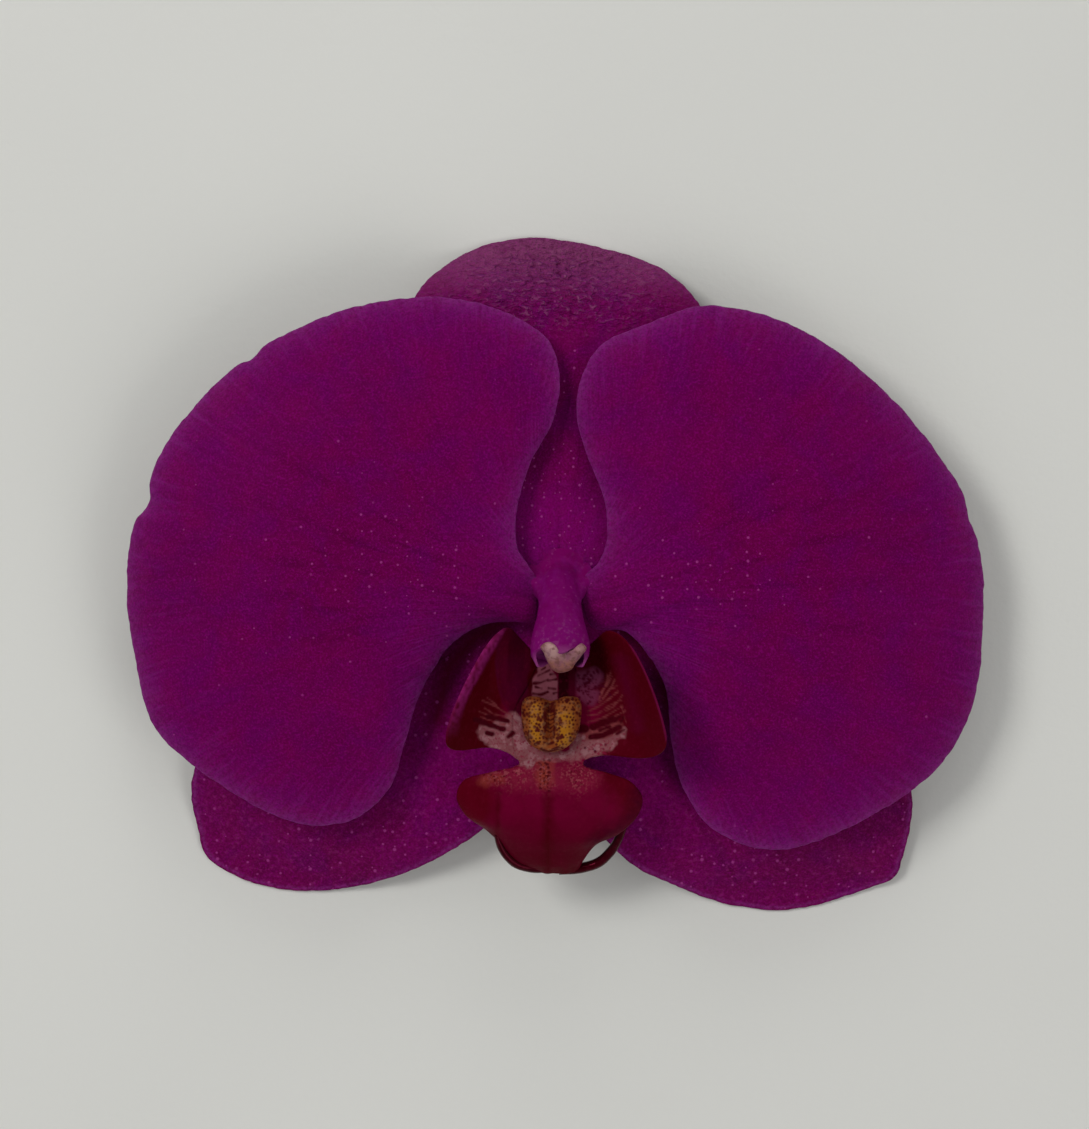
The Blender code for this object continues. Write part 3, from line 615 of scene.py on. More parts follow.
# Lateral sepals
# The two lower sepals, blades like the first one. They grow from the column's base under the lip,
# spread to either side, and rest their outer corners on the surface.
LATERALS = {
    "left": {
        "rim": [
            (0.3, -4.3, 10.4), (-0.8, -3.9, 10.4), (-1.6, -3.2, 10.4), (-2.1, -2.0, 10.4),
            (-3.6, -1.6, 10.4), (-6.4, -3.0, 10.0), (-11.7, -6.6, 9.0), (-19.3, -10.1, 7.6),
            (-27.6, -13.2, 6.2),
            (-35.3, -16.3, 4.8), (-41.3, -20.3, 3.2), (-43.2, -25.1, 1.8), (-42.8, -29.5, 0.0),
            (-41.6, -33.6, -2.0), (-39.3, -35.5, -2.8), (-34.1, -37.4, -2.8), (-28.1, -37.9, -1.2),
            (-21.3, -36.8, 1.2), (-14.8, -34.3, 3.2), (-9.1, -30.7, 4.8), (-5.9, -27.8, 6.0),
            (-3.2, -23.6, 7.2), (-1.3, -18.9, 8.2), (-0.4, -13.6, 9.3), (0.0, -8.3, 10.2),
        ],
        "middle": (-21.0, -22.5, 6.4),
        "turn": -0.10,
        "claw": ((3.0, -1.0), 222, 54.0),
    },
    "right": {
        "rim": [
            (0.7, -4.3, 10.4), (1.0, -8.3, 10.2), (1.2, -13.6, 9.3), (1.7, -18.9, 8.2),
            (3.1, -25.4, 6.8), (5.0, -30.2, 5.2), (8.2, -33.9, 3.6), (13.8, -37.0, 1.8),
            (20.1, -39.4, -0.8), (26.1, -40.2, -2.6), (31.4, -39.5, -2.6), (36.8, -37.7, -1.0),
            (40.4, -36.1, 0.8), (41.1, -34.2, 1.4), (42.1, -30.4, 1.8), (42.3, -25.7, 2.2),
            (40.6, -21.5, 3.2), (36.4, -17.7, 4.8), (29.8, -14.4, 6.4), (22.1, -11.0, 7.8),
            (14.5, -7.8, 9.0), (8.1, -3.8, 10.0), (4.6, -1.6, 10.4), (3.1, -2.0, 10.4),
            (2.6, -3.2, 10.4), (1.8, -3.9, 10.4),
        ],
        "middle": (21.5, -23.5, 6.2),
        "turn": -0.36,
        "claw": ((-2.0, -1.0), -43, 54.0),
    },
}
# The line along which crimson shade is painted on the laterals, beside the lip's side lobes.
SHADED_BESIDE_LIP = ((6.0, -5.5), (9.5, -7.5), (12.5, -11.0), (13.8, -17.0))
# Lighter still, and shown fully near the lip, where the red tone leaves it: painted light that lifts the
# shade under the petals.
LIT_LATERAL_MAGENTA = (0.200, 0.0006, 0.112)


def lateral_shape(place, inside, round_rim, bearing, distance):
    """Gentle swells, a rolled rim with a thin pale line painted on as a highlight, specks, and crimson
    painted shade beside the lip.
    """
    x, y = np.abs(place[:, 0]), place[:, 1]
    plan = np.column_stack((x, y))
    relief = 0.35 * swell(x / 9, y / 9, 4.5) + 0.06 * swell(x / 1.7, y / 1.7, 5.5)
    relief -= 0.3 * np.exp(-inside / 0.9)
    relief += 0.25 * np.exp(-inside / 2.5) * swell(*round_rim / 5, 6.5)
    creases = swell((0.8 * x - 0.6 * y) / 5, (0.6 * x + 0.8 * y) / 1.1, 7.5)
    relief += 0.24 * patch(plan, 34, -31, 9, 6) * creases
    tones = {
        # redder away from the lip; near it the lighter base shows as painted light
        "red": 0.85 - 0.85 * patch(plan, 8, -19, 15, 12) + 0.15 * swell(x / 6, y / 6, 7.5),
        "violet": 0.25 * np.exp(-inside / 1.5),
        # a faint dusty sheen painted towards the outer end
        "dusty_sheen": 0.04 * ramp(distance, 0.3, 1.0),
        # a thin pale line painted as a highlight on the rolled rim
        "rim": 0.5 * bell(inside - 0.45, 0.25),
        "speck": 0.20 + 0.15 * patch(plan, 24, -32, 15, 9),
        # crimson painted shade beside the lip's side lobes
        "painted_shade": 0.85 * stroke(plan, 1.8, SHADED_BESIDE_LIP, soft=1.8),
    }
    return relief, tones


lateral_face = flesh("lateral_face", LIT_LATERAL_MAGENTA, 0.05, (800.0, 0.18), 0.38)
finishes = [lateral_face, sepal_back]
for side, sepal in LATERALS.items():
    name = f"lateral_sepal_{side}"
    lateral = blade(name, sepal, SEPAL_CROWN, SEPAL_CELLS, finishes, lateral_shape)
    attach(lateral, "root")
    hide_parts(f"sepal_lateral_{side}")


# Petals
# The two broad petals, velvety blades that lie over the sepals. Each grows from a narrow claw beside
# the column, spreads like a fan, and bends down all round its rim.
PETALS = {
    "left": {
        "rim": [
            (-2.4, -5.5, 13.2), (-1.9, -3.9, 13.2), (-2.0, -0.8, 12.9), (-4.2, 3.0, 12.6),
            (-4.2, 7.9, 12.8), (-2.6, 13.1, 12.6), (-0.1, 18.0, 12.2), (0.6, 22.9, 11.8),
            (-0.8, 27.2, 11.2), (-5.9, 30.5, 10.4), (-11.7, 32.1, 9.8), (-18.3, 32.1, 9.4),
            (-25.1, 30.7, 9.0), (-31.3, 28.1, 8.7), (-33.9, 26.6, 8.6), (-35.6, 24.9, 8.4),
            (-37.0, 24.4, 8.3), (-41.5, 20.4, 7.9), (-45.6, 15.2, 7.5), (-47.5, 10.9, 7.3),
            (-47.7, 8.1, 7.6), (-49.5, 5.6, 7.1), (-50.3, -2.6, 6.9), (-49.1, -11.1, 7.0),
            (-47.0, -18.0, 7.3), (-42.6, -22.4, 7.8), (-36.2, -26.7, 8.3), (-32.7, -28.5, 8.6),
            (-28.0, -29.7, 9.0), (-23.0, -28.6, 9.6), (-19.3, -25.2, 10.3), (-17.5, -19.9, 11.2),
            (-15.7, -14.3, 12.0), (-12.0, -8.4, 12.6), (-7.9, -5.9, 12.9), (-4.9, -5.6, 13.1),
        ],
        "middle": (-25.0, 3.2, 14.2),
        "turn": 0.05,
        "claw": ((3.0, -4.5), 166, 54.0),
        "ear": (-3.2, -4.4),
        "blush": (-12, -9, 6, 5),
        "specks": (-18, 0, 11, 6),
        "crease": ((-34.0, 19.0), (-31.0, 23.0)),
    },
    "right": {
        "rim": [
            (4.1, -6.3, 13.2), (7.7, -6.7, 12.8), (10.7, -9.8, 12.3), (12.8, -14.0, 11.9),
            (13.4, -19.8, 11.2), (14.7, -24.9, 10.4), (17.6, -29.4, 9.6), (22.1, -31.9, 9.0),
            (26.7, -32.4, 8.6), (31.8, -31.0, 8.3), (36.7, -28.6, 8.0), (41.3, -25.9, 7.7),
            (45.5, -22.0, 7.4), (48.2, -17.6, 7.2), (49.7, -11.9, 7.0), (50.2, -6.1, 6.9),
            (50.3, -0.8, 6.9), (49.5, 4.0, 7.1), (48.5, 6.4, 7.5), (48.0, 8.9, 7.3),
            (45.5, 13.0, 7.4), (40.8, 18.9, 7.8), (35.0, 24.4, 8.2), (28.1, 28.8, 8.7),
            (22.0, 30.8, 9.1), (16.6, 31.2, 9.5), (10.4, 29.1, 10.0), (5.5, 26.9, 10.5),
            (2.9, 22.9, 11.0), (2.4, 17.9, 11.5), (3.6, 13.6, 12.0), (5.4, 8.7, 12.4),
            (5.8, 4.4, 12.5), (4.9, 1.4, 12.4), (3.0, -0.8, 12.9), (2.9, -3.9, 13.2),
        ],
        "middle": (25.5, 1.0, 14.0),
        "turn": -0.54,
        "claw": ((-2.0, -4.5), 10, 54.0),
        "ear": (4.2, -4.5),
        "blush": (13, -8, 5, 6),
        "specks": (17, -0.5, 10, 5),
        "crease": ((38.5, -7.5), (42.0, -8.6), (45.2, -9.1)),
    },
}
PETAL_CELLS = 190
PETAL_CROWN = 2.4
PETAL_BACK = (0.17, 0.005, 0.095)


def petal_shape(petal):
    """The shape and tones of one petal, with its own claw's ear, blush, specks and crease."""

    def shaped(place, inside, round_rim, bearing, distance):
        x, y = place[:, 0], place[:, 1]
        ear = patch(place, *petal["ear"], 1.2, 1.5)
        free = 1 - patch(place, *petal["ear"], 4.5, 3.0)
        relief = 0.30 * swell(x / 11, y / 11, 7.5) + 0.04 * swell(bearing * 16, distance * 4, 8.5)
        relief += 0.45 * np.exp(-inside / 4.0) * swell(*round_rim / 7, 9.5)
        relief += 0.14 * np.exp(-inside / 1.5) * swell(*round_rim / 1.4, 10.5) - 0.5 * np.exp(-inside / 1.0)
        relief += 0.30 * ear - 0.30 * np.exp(-((bearing / 0.10) ** 2) - distance / 0.25)
        relief -= 0.20 * stroke(place[:, :2], 0.3, petal["crease"], soft=1.4)
        tones = {
            "red": 0.9 * np.exp(-((bearing / 0.7) ** 2) - ((distance - 0.45) / 0.3) ** 2),
            "violet": free * (0.55 * np.exp(-inside / 7.0) + 0.35 * np.exp(-inside / 2.0))
            + 0.5 * patch(place, *petal["blush"]),
            # a paler rim band with painted sheen, and a thin painted highlight right at the edge
            "rim": free * (0.45 * np.exp(-inside / 1.3) + 0.3 * np.exp(-inside / 0.3)),
            "speck": 0.55 * patch(place, *petal["specks"]) + 0.015,
        }
        return relief, tones

    return shaped


petal_face = flesh("petal_face", DEEP_MAGENTA, 0.05, (720.0, 0.14))
petal_back = flesh("petal_back", PETAL_BACK, 0.08)
for side, petal in PETALS.items():
    name = f"velvet_petal_{side}"
    piece = blade(name, petal, PETAL_CROWN, PETAL_CELLS, [petal_face, petal_back], petal_shape(petal))
    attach(piece, "root")
    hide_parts(f"petal_{side}")


# Column
# The waxy body at the flower's heart, of one piece. Its foot spreads into the claws round it; it rises
# from the ovary, leans forward over the lip, and ends in a hood whose thin wings clasp the anther.
COLUMN_X = 0.5
COLUMN_PATH = [
    (COLUMN_X, y, z) for y, z in (
        (-1.6, 10.4), (-1.6, 11.1), (-1.9, 12.5), (-3.2, 14.1), (-5.0, 15.7), (-6.9, 17.1), (-8.3, 18.2),
        (-9.2, 18.9),
    )
]
COLUMN_HALF_SIZES = [
    (2.6, 2.6), (2.5, 2.4), (2.35, 2.2), (2.35, 2.1), (2.6, 2.1), (3.1, 2.1), (3.3, 2.0), (3.2, 1.9),
]
FOOT_SPREAD = 0.7  # of the column's size
CLAW_LEVEL = 0.27  # how far along the column the petals' claws meet its sides
APEX_LENGTH = 1.0
WING_LENGTH = 1.35
WING_THICKNESS = 0.3
WAX_MAGENTA = (0.152, 0.0006, 0.092)
WAX_VIOLET = (0.168, 0.0040, 0.124)
WAX_RED = (0.125, 0.0006, 0.062)
WING_LILAC = (0.21, 0.034, 0.145)


def column_shape(along, angle):
    """A spreading foot, a keel along its back, flanges at its sides, and the stigma's hollow in front."""
    back, side = math.sin(angle), abs(math.cos(angle))
    level = CLAW_LEVEL * float(ramp(side, 0.72, 0.98))
    foot = FOOT_SPREAD * min(1.0, math.exp((level - along) / 0.06))
    keel = 0.03 * bell(back - 1, 0.05)
    flange = 0.06 * bell(back + 0.3, 0.3) * min(1.0, max(0.0, (along - 0.45) / 0.3))
    hollow = 0.5 * bell(back + 1, 0.25) * bell(along - 0.86, 0.07)
    pulse = 0.02 * noise.noise(Vector((3 * math.cos(angle), 3 * back, 14 * along)))
    return 1 + foot + keel + flange - hollow + pulse, 0.0


bm = loft(COLUMN_PATH, COLUMN_HALF_SIZES, rings=90, sides=72, across=Vector((1, 0, 0)), shape=column_shape)
pale_and_lit = bm.verts.layers.float.new("pale_and_lit")
out = Vector((0, -0.9, 0.7)).normalized()  # the way the head faces
upper = out.cross(Vector((1, 0, 0)))
tip = Vector(COLUMN_PATH[-1])
head = max((face for face in bm.faces if len(face.verts) > 4), key=lambda face: face.calc_center_median().z)


def wing_height(point):
    """How far the hood's rim stands out: a tooth over the anther, and a wing at either side of it."""
    aside = abs(point.x - tip.x) / COLUMN_HALF_SIZES[-1][0]
    above = (point - tip).dot(upper) / COLUMN_HALF_SIZES[-1][1]
    apex = APEX_LENGTH * bell(aside, 0.46) * (above > 0)
    return 0.06 + apex + WING_LENGTH * bell(above + 0.35, 0.42) * float(ramp(aside, 0.2, 0.7))


bmesh.ops.inset_individual(bm, faces=[head], thickness=WING_THICKNESS, depth=0.0)
rim = [face for face in bm.faces if len(face.verts) == 4 and sum(v in head.verts for v in face.verts) == 2]
rim = [face for face in rim if abs(face.normal.dot(out)) > 0.7]
grown = bmesh.ops.extrude_face_region(bm, geom=rim)["geom"]
for vert in [item for item in grown if isinstance(item, bmesh.types.BMVert)]:
    height = wing_height(vert.co)
    vert[pale_and_lit] = min(1.0, height / 0.8)
    vert.co += out * height + (tip - vert.co) * 0.13 * height
bmesh.ops.delete(bm, geom=rim, context="FACES_ONLY")
bmesh.ops.inset_individual(bm, faces=[head], thickness=0.5, depth=-0.15)
# The hollow inside the hood gets a pale tone too: painted light that lifts its shade.
for vert in head.verts:
    vert[pale_and_lit] = 0.5
bmesh.ops.recalc_face_normals(bm, faces=bm.faces)
wax, shader, place = finish_of("column_wax", 0.50, 0.06, (1.0, 0.20, 0.8))
streaks = mottle(stretched(place, 900.0, 260.0, 260.0), 1.0, 3.0, 0.3)
grain = mottle(place, 2200.0)
dots = add_node(place.id_data, "TexVoronoi", {"Vector": place, "Scale": 1100.0}).outputs["Distance"]
height = add_node(place.id_data, "SeparateXYZ", {0: place}).outputs["Z"]
flecks = eased(mottle(place, 1700.0, 3.0), 0.52, 0.68, 0.0, 0.55)
near_cap = eased(height, 17.4 * MM, 19.8 * MM)
skin = layered(
    LIT_SEPAL_MAGENTA,
    (WAX_MAGENTA, height, 11.0 * MM, 14.0 * MM),
    (WAX_VIOLET, streaks, 0.44, 0.68, 0.0, 0.6),
    (WAX_RED, mottle(place, 700.0, 3.0), 0.5, 0.72, 0.0, 0.5),
    (WAX_VIOLET, height, 17.0 * MM, 20.0 * MM, 0.0, 0.35),
    (WING_LILAC, figured("MULTIPLY", flecks, near_cap)),
    (WING_LILAC, grain, 0.50, 0.72, 0.0, 0.16),
    (SPECK_PINK, dots, 0.06, 0.20, 0.35, 0.0),
    # pale lilac on the wings' rims, and painted light in the hood's hollow
    (WING_LILAC, noted(place, "pale_and_lit")),
)
coat(shader, skin, raised(grain, 0.06, 0.6))
column = worn_by("waxy_column", mesh_from("waxy_column", bm), [wax])
soft = column.modifiers.new("Soft edges", "BEVEL")
soft.width = 0.08 * MM
soft.segments = 2
soft.limit_method = "ANGLE"
soft.angle_limit = math.radians(50)
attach(column, "root")
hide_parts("column")


# Anther cap
# The loose cream cap over the pollen, a small thin shell like a tooth: two horns where it meets the
# column, and a blunt beak below. It sits in the hood, nearer to the right wing.
CAP_RIM = [
    (3.50, -8.50), (2.95, -7.95), (2.60, -8.10), (1.95, -8.60), (1.10, -8.70), (0.30, -8.55),
    (-0.10, -8.10), (-0.70, -7.80), (-1.25, -7.88), (-1.75, -8.40), (-1.40, -9.00), (-1.15, -9.65),
    (-0.80, -10.35), (-0.35, -11.00), (0.35, -11.35), (1.15, -11.25), (1.85, -10.90), (2.15, -10.40),
    (2.60, -9.85), (3.00, -9.30),
]
CAP_MIDDLE = (0.85, -9.8)
CAP_CELLS = 70
CAP_TOP = 20.15  # the level of its rim, CAP_TOP_Y across, from where it slopes down to the beak
CAP_TOP_Y = -8.1
CAP_SLOPE = 0.50
CAP_CROWN = 1.05
CAP_WALL = 0.25
CREAM = (0.285, 0.122, 0.130)
WHITE_HIGHLIGHT = (0.42, 0.235, 0.222)
PEACH = (0.275, 0.100, 0.072)
BROWN = (0.120, 0.042, 0.026)
LILAC = (0.17, 0.050, 0.105)


def pad_of(cells, rim, middle, turn):
    """A square grid rounded and drawn out to a rim in plan: the mesh, its plan, and each point's radius.

    turn is the share of the rim between its first point and the grid's +X side.
    """
    bm = bmesh.new()
    bmesh.ops.create_grid(bm, x_segments=cells, y_segments=cells, size=1.0)
    radius, share = disc_of(np.array([vert.co for vert in bm.verts]))
    edge = spline([(*point, 0) for point in rim], (share + turn) % 1.0 * len(rim), closed=True)[:, :2]
    return bm, middle + (edge - middle) * radius[:, None], radius


def place_at(bm, places):
    """Moves a bmesh's points to these places."""
    for vert, place in zip(bm.verts, places):
        vert.co = place


bm, plan, radius = pad_of(CAP_CELLS, CAP_RIM, CAP_MIDDLE, -0.07)
bulges = 0.30 * patch(plan, -0.4, -8.6, 0.7) + 0.25 * patch(plan, 2.6, -8.9, 0.5, 0.8)
bulges += 0.12 * patch(plan, 0.4, -10.8, 0.6) - 0.22 * patch(plan, 1.2, -9.2, 0.35, 0.9)
bulges -= 0.05 * swell(plan[:, 0] / 0.35, plan[:, 1] / 0.7, 31.5)
crown = np.sqrt(np.maximum(0, 1 - radius**3))
levels = CAP_TOP + CAP_SLOPE * (plan[:, 1] - CAP_TOP_Y) + CAP_CROWN * crown + bulges * crown
place_at(bm, np.column_stack((plan, levels)))
mesh = mesh_from("anther_shell", bm)
note(mesh, {
    # white: the horns' paler cream, with a painted highlight on their bulges
    "white": ramp(patch(plan, -0.45, -8.7, 0.9, 1.0), 0.1, 0.8) + 0.6 * patch(plan, 2.7, -8.6, 0.4),
    "peach": ramp(-plan[:, 1], 9.6, 10.4),
    # lilac: a lilac tinge near the beak, and painted shade in the furrow between the horns
    "lilac_and_shade": 0.6 * patch(plan, 1.3, -9.2, 0.5, 0.7) + 0.4 * patch(plan, 0.3, -10.9, 0.7, 0.3),
})
shell, shader, place = finish_of("anther", 0.45, 0.15)
skin = layered(
    CREAM,
    (PEACH, noted(place, "peach")),
    (WHITE_HIGHLIGHT, noted(place, "white")),
    (LILAC, noted(place, "lilac_and_shade")),
    (LILAC, mottle(place, 1100.0, 3.0, 0.5), 0.48, 0.70, 0.0, 0.55),
    (BROWN, mottle(place, 1900.0, 3.0), 0.48, 0.64, 0.0, 0.55),
)
coat(shader, skin, raised(mottle(place, 1400.0, 3.0), 0.12))
cap = worn_by("anther_shell", mesh, [shell])
wall = cap.modifiers.new("Wall", "SOLIDIFY")
wall.thickness = CAP_WALL * MM
wall.offset = -1.0
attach(cap, "root")
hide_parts("anther_cap")


# Pollinarium
# Two hard waxy grains of pollen, each with a cleft, on a short strap that ends in a sticky pad. It
# lies on the column's tip, under the cap.
GRAIN_RADIUS = 0.5
GRAIN_SPREAD = 0.55
STRAP_PATH = [(0, 0.40, 0.16), (0, 0.05, 0.18), (0, -0.25, 0.16), (0, -0.45, 0.15)]
STRAP_HALF_SIZES = [(0.55, 0.10), (0.30, 0.09), (0.28, 0.09), (0.45, 0.08)]
GOLD = (0.80, 0.50, 0.05)
OCHRE = (0.62, 0.33, 0.02)

pollen_seat = Matrix((Vector((1, 0, 0)), upper, out)).transposed().to_4x4()
pollen_seat.translation = tip + out * 0.3
bm = loft(STRAP_PATH, STRAP_HALF_SIZES, rings=24, sides=20, across=Vector((1, 0, 0)))
for side in (-1, 1):
    grain = bmesh.ops.create_uvsphere(bm, u_segments=32, v_segments=20, radius=GRAIN_RADIUS)["verts"]
    for vert in grain:
        cleft = bell(vert.co.x, 0.08) * max(0.0, vert.co.z)
        vert.co = (vert.co.x * 0.95, vert.co.y * 1.05, vert.co.z * (1 - 0.3 * cleft))
    bmesh.ops.translate(bm, vec=(side * GRAIN_SPREAD, 0.1, 0.55), verts=grain)
bmesh.ops.transform(bm, matrix=pollen_seat, verts=bm.verts)
pollen_wax, shader, place = finish_of("pollen_wax", 0.35, 0.4)
skin = layered(GOLD, (OCHRE, mottle(place, 1500.0, 3.0), 0.35, 0.65))
coat(shader, skin, raised(mottle(place, 4000.0, 2.0), 0.03))
pollen = worn_by("pollen_grains", mesh_from("pollen_grains", bm), [pollen_wax])
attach(pollen, "root")
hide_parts("pollinarium")


# Lip
# The third petal, fleshier, grown as one piece: a narrow claw, two side lobes that stand up round the
# throat, and a front lobe whose flat middle folds down to rounded shoulders. Its crimson is barred and
# spotted over white in the throat. Each station gives the floor's left edge, midline and right edge.
LIP_FLOOR = [
    ((-1.5, -8.2, 12.2), (0.2, -8.2, 12.1), (1.9, -8.2, 12.2)),
    ((-2.0, -10.4, 13.3), (0.1, -10.4, 13.1), (2.1, -10.4, 13.3)),
    ((-3.2, -13.0, 14.6), (-0.2, -13.0, 14.5), (2.8, -13.0, 14.6)),
    ((-4.6, -15.5, 15.2), (-0.5, -15.5, 15.2), (3.6, -15.5, 15.2)),
    ((-4.9, -18.5, 15.3), (-0.5, -18.5, 15.3), (3.9, -18.5, 15.3)),
    ((-4.6, -20.8, 15.3), (-0.5, -20.8, 15.3), (3.6, -20.8, 15.3)),
    ((-4.2, -21.9, 15.1), (-0.6, -22.0, 15.2), (3.2, -22.0, 15.1)),
    ((-7.2, -22.8, 14.4), (-0.7, -23.4, 15.1), (5.8, -22.9, 14.3)),
    ((-10.6, -23.9, 13.3), (-0.8, -25.2, 14.9), (8.7, -24.1, 12.9)),
    ((-11.4, -25.8, 12.7), (-0.8, -27.0, 14.4), (10.0, -26.0, 12.0)),
    ((-10.4, -27.9, 12.2), (-0.8, -28.8, 13.6), (9.5, -28.0, 11.5)),
    ((-8.3, -29.4, 11.4), (-0.8, -30.6, 12.5), (7.4, -30.1, 11.0)),
    ((-6.8, -30.9, 10.6), (-0.8, -32.3, 11.0), (4.9, -31.2, 10.3)),
    ((-5.9, -32.8, 9.1), (-0.8, -33.9, 9.5), (3.3, -33.2, 8.9)),
    ((-3.9, -34.2, 7.9), (-0.7, -34.9, 8.1), (2.6, -34.7, 7.9)),
]
# Each side lobe's stations: its root on the floor's edge, its belly and its free edge.
SIDE_LOBES = {
    -1: [
        ((-2.1, -9.8, 13.1), (-4.6, -7.0, 14.6), (-6.0, -5.2, 17.2)),
        ((-3.0, -12.6, 14.3), (-6.9, -11.4, 16.0), (-9.1, -10.2, 20.0)),
        ((-4.3, -15.4, 15.0), (-8.9, -15.4, 16.8), (-11.7, -15.6, 21.5)),
        ((-4.6, -18.4, 15.1), (-9.1, -18.4, 16.6), (-12.6, -19.4, 20.8)),
        ((-4.4, -21.4, 15.1), (-8.3, -20.0, 16.2), (-12.4, -22.0, 18.8)),
    ],
    1: [
        ((2.1, -9.8, 13.1), (4.9, -7.4, 14.6), (6.7, -5.4, 17.2)),
        ((2.6, -12.6, 14.3), (7.1, -11.4, 16.0), (9.7, -10.2, 20.0)),
        ((3.3, -15.4, 15.0), (8.5, -15.4, 16.8), (11.8, -15.6, 21.5)),
        ((3.6, -18.4, 15.1), (8.8, -18.6, 16.6), (12.7, -19.6, 20.8)),
        ((3.4, -21.4, 15.1), (7.4, -21.0, 16.2), (12.6, -23.0, 18.6)),
    ],
}
LIP_LENGTH = len(LIP_FLOOR) - 1  # in stations
LIP_COLUMNS = 260
LIP_ROWS = 18 * LIP_LENGTH
FLOOR_HALF = 0.4  # of the grid's half width; the side lobes take the rest
LOBE_RUNS = (14 / 18, 99 / 18)  # the stations between which they stand
LIP_THICKNESS = 0.62
FLAT_EDGES = [
    ((-6.5, -25.4), (-6.6, -27.5), (-6.5, -30.4)), ((5.2, -22.9), (6.1, -26.2), (5.2, -29.6), (4.3, -30.9)),
]
MIDLINE = ((-0.9, -25.0), (-0.85, -34.0))
CRIMSON = (0.130, 0.0004, 0.0215)
# painted shade towards the front lobe's tip
TIP_SHADE_CRIMSON = (0.080, 0.0003, 0.0085)
DARK_CRIMSON = (0.058, 0.0003, 0.0030)
RED = (0.090, 0.0004, 0.007)
LOBE_RED = (0.070, 0.0003, 0.0048)
LOBE_MAGENTA = (0.080, 0.0005, 0.014)
# painted shade for the dark hollows of the throat
THROAT_SHADE_RED = (0.034, 0.0003, 0.0014)
INK = (0.042, 0.0010, 0.0045)
BLUSH_WHITE = (0.212, 0.070, 0.080)
THROAT_WHITE = (0.285, 0.128, 0.142)
CLAW_WHITE = (0.215, 0.058, 0.082)
PALE_VEIN = (0.190, 0.036, 0.040)
ROSE = (0.175, 0.0075, 0.030)
FLECK_PINK = (0.29, 0.060, 0.075)
ORANGE = (0.23, 0.032, 0.022)
# a dark purple for spots, and for painted shade
PURPLE_SPOTS_AND_SHADE = (0.052, 0.0004, 0.0095)
# a painted highlight on the purple bulge
FORM_HIGHLIGHT_PURPLE = (0.062, 0.0005, 0.015)
# the painted shadow of a slot
SLOT_SHADOW = (0.013, 0.0006, 0.0025)
LILAC_NET = (0.128, 0.020, 0.054)
# the lilac of a rolled edge, brightened as painted light
EDGE_LILAC_HIGHLIGHT = (0.215, 0.0110, 0.105)
LIP_BACK = (0.150, 0.002, 0.060)


def through(three, places, across):
    """Points across a strip: the parabola through its three lines, with across from -1 to 1."""
    first, middle, last = (spline(line, places) for line in zip(*three))
    across = across[:, None]
    return middle + across * (last - first) / 2 + across**2 * ((first + last) / 2 - middle)


def wash(paint, colour, share):
    """Lays a colour over the paint at each point, as a share from 0 to 1."""
    paint += (np.array(colour) - paint) * share[:, None]


def brush(paint, plan, colour, width, *points, soft=0.12, ragged=0.0, strength=1.0):
    """Lays a stroke of colour over what lies under it. One point makes a dot."""
    wash(paint, colour, strength * stroke(plan, width, points, soft, ragged))


def note_paint(mesh, paint):
    """Keeps the paint at each of a mesh's points, for its material to read."""
    kept = mesh.attributes.new("paint", "FLOAT_COLOR", "POINT")
    kept.data.foreach_set("color", np.column_stack((paint, np.ones(len(paint)))).ravel())


bm = bmesh.new()
bmesh.ops.create_grid(bm, x_segments=LIP_COLUMNS, y_segments=LIP_ROWS, size=1.0)
outside = []
for face in bm.faces:
    middle = face.calc_center_median()
    beside_lobe = LOBE_RUNS[0] < (middle.y + 1) / 2 * LIP_LENGTH < LOBE_RUNS[1]
    if abs(middle.x) > FLOOR_HALF and not beside_lobe:
        outside.append(face)
bmesh.ops.delete(bm, geom=outside, context="FACES")
bmesh.ops.reverse_faces(bm, faces=bm.faces)
square = np.array([vert.co for vert in bm.verts])
across, run = square[:, 0], (square[:, 1] + 1) / 2 * LIP_LENGTH
floor_across = np.clip(across / FLOOR_HALF, -1, 1)
place = through(LIP_FLOOR, run, floor_across)
up_lobe = np.clip((np.abs(across) - FLOOR_HALF) / (1 - FLOOR_HALF), 0, 1)
down_lobe = np.clip((run - LOBE_RUNS[0]) / (LOBE_RUNS[1] - LOBE_RUNS[0]), 0, 1)
for side, stations in SIDE_LOBES.items():
    lobe = up_lobe * (np.sign(across) == side) > 0
    up, down = up_lobe[lobe], down_lobe[lobe]
    # Its two outer corners are rounded off: a little at the back, much at the front.
    for low, (start, end) in ((0.6, (0.2, 0.0)), (0.45, (0.62, 1.0))):
        over_up = np.clip((up - low) / (1 - low), 0, 1)
        over_down = np.clip((down - start) / (end - start), 0, 1)
        up = np.where(over_up > 0, low + (1 - low) * over_up * np.sqrt(1 - over_down**2 / 2), up)
        rounded = start + (end - start) * over_down * np.sqrt(1 - over_up**2 / 2)
        down = np.where(over_down > 0, rounded, down)
    risen = through(stations, down * (len(stations) - 1), 2 * up - 1)
    root = through(stations, down * (len(stations) - 1), np.full(up.shape, -1.0))
    place[lobe] = risen + (place[lobe] - root) * ((1 - up) ** 2)[:, None]
    up_lobe[lobe], down_lobe[lobe] = up, down
plan = place[:, :2].copy()
x, y = plan.T
left, right = across < -FLOOR_HALF, across > FLOOR_HALF
front = ramp(run, 6.5, 8.5)
place[:, 2] += 0.8 * front * (floor_across**2 - floor_across**4) * ramp(-run, -13.5, -11)
for line, depth in ((FLAT_EDGES[0], 0.22), (FLAT_EDGES[1], 0.14), (MIDLINE, 0.22)):
    place[:, 2] -= depth * stroke(plan, 0.3, line, soft=0.9)
place[:, 2] += 0.10 * front * swell(x / 2.2, y / 3.5, 11.5)
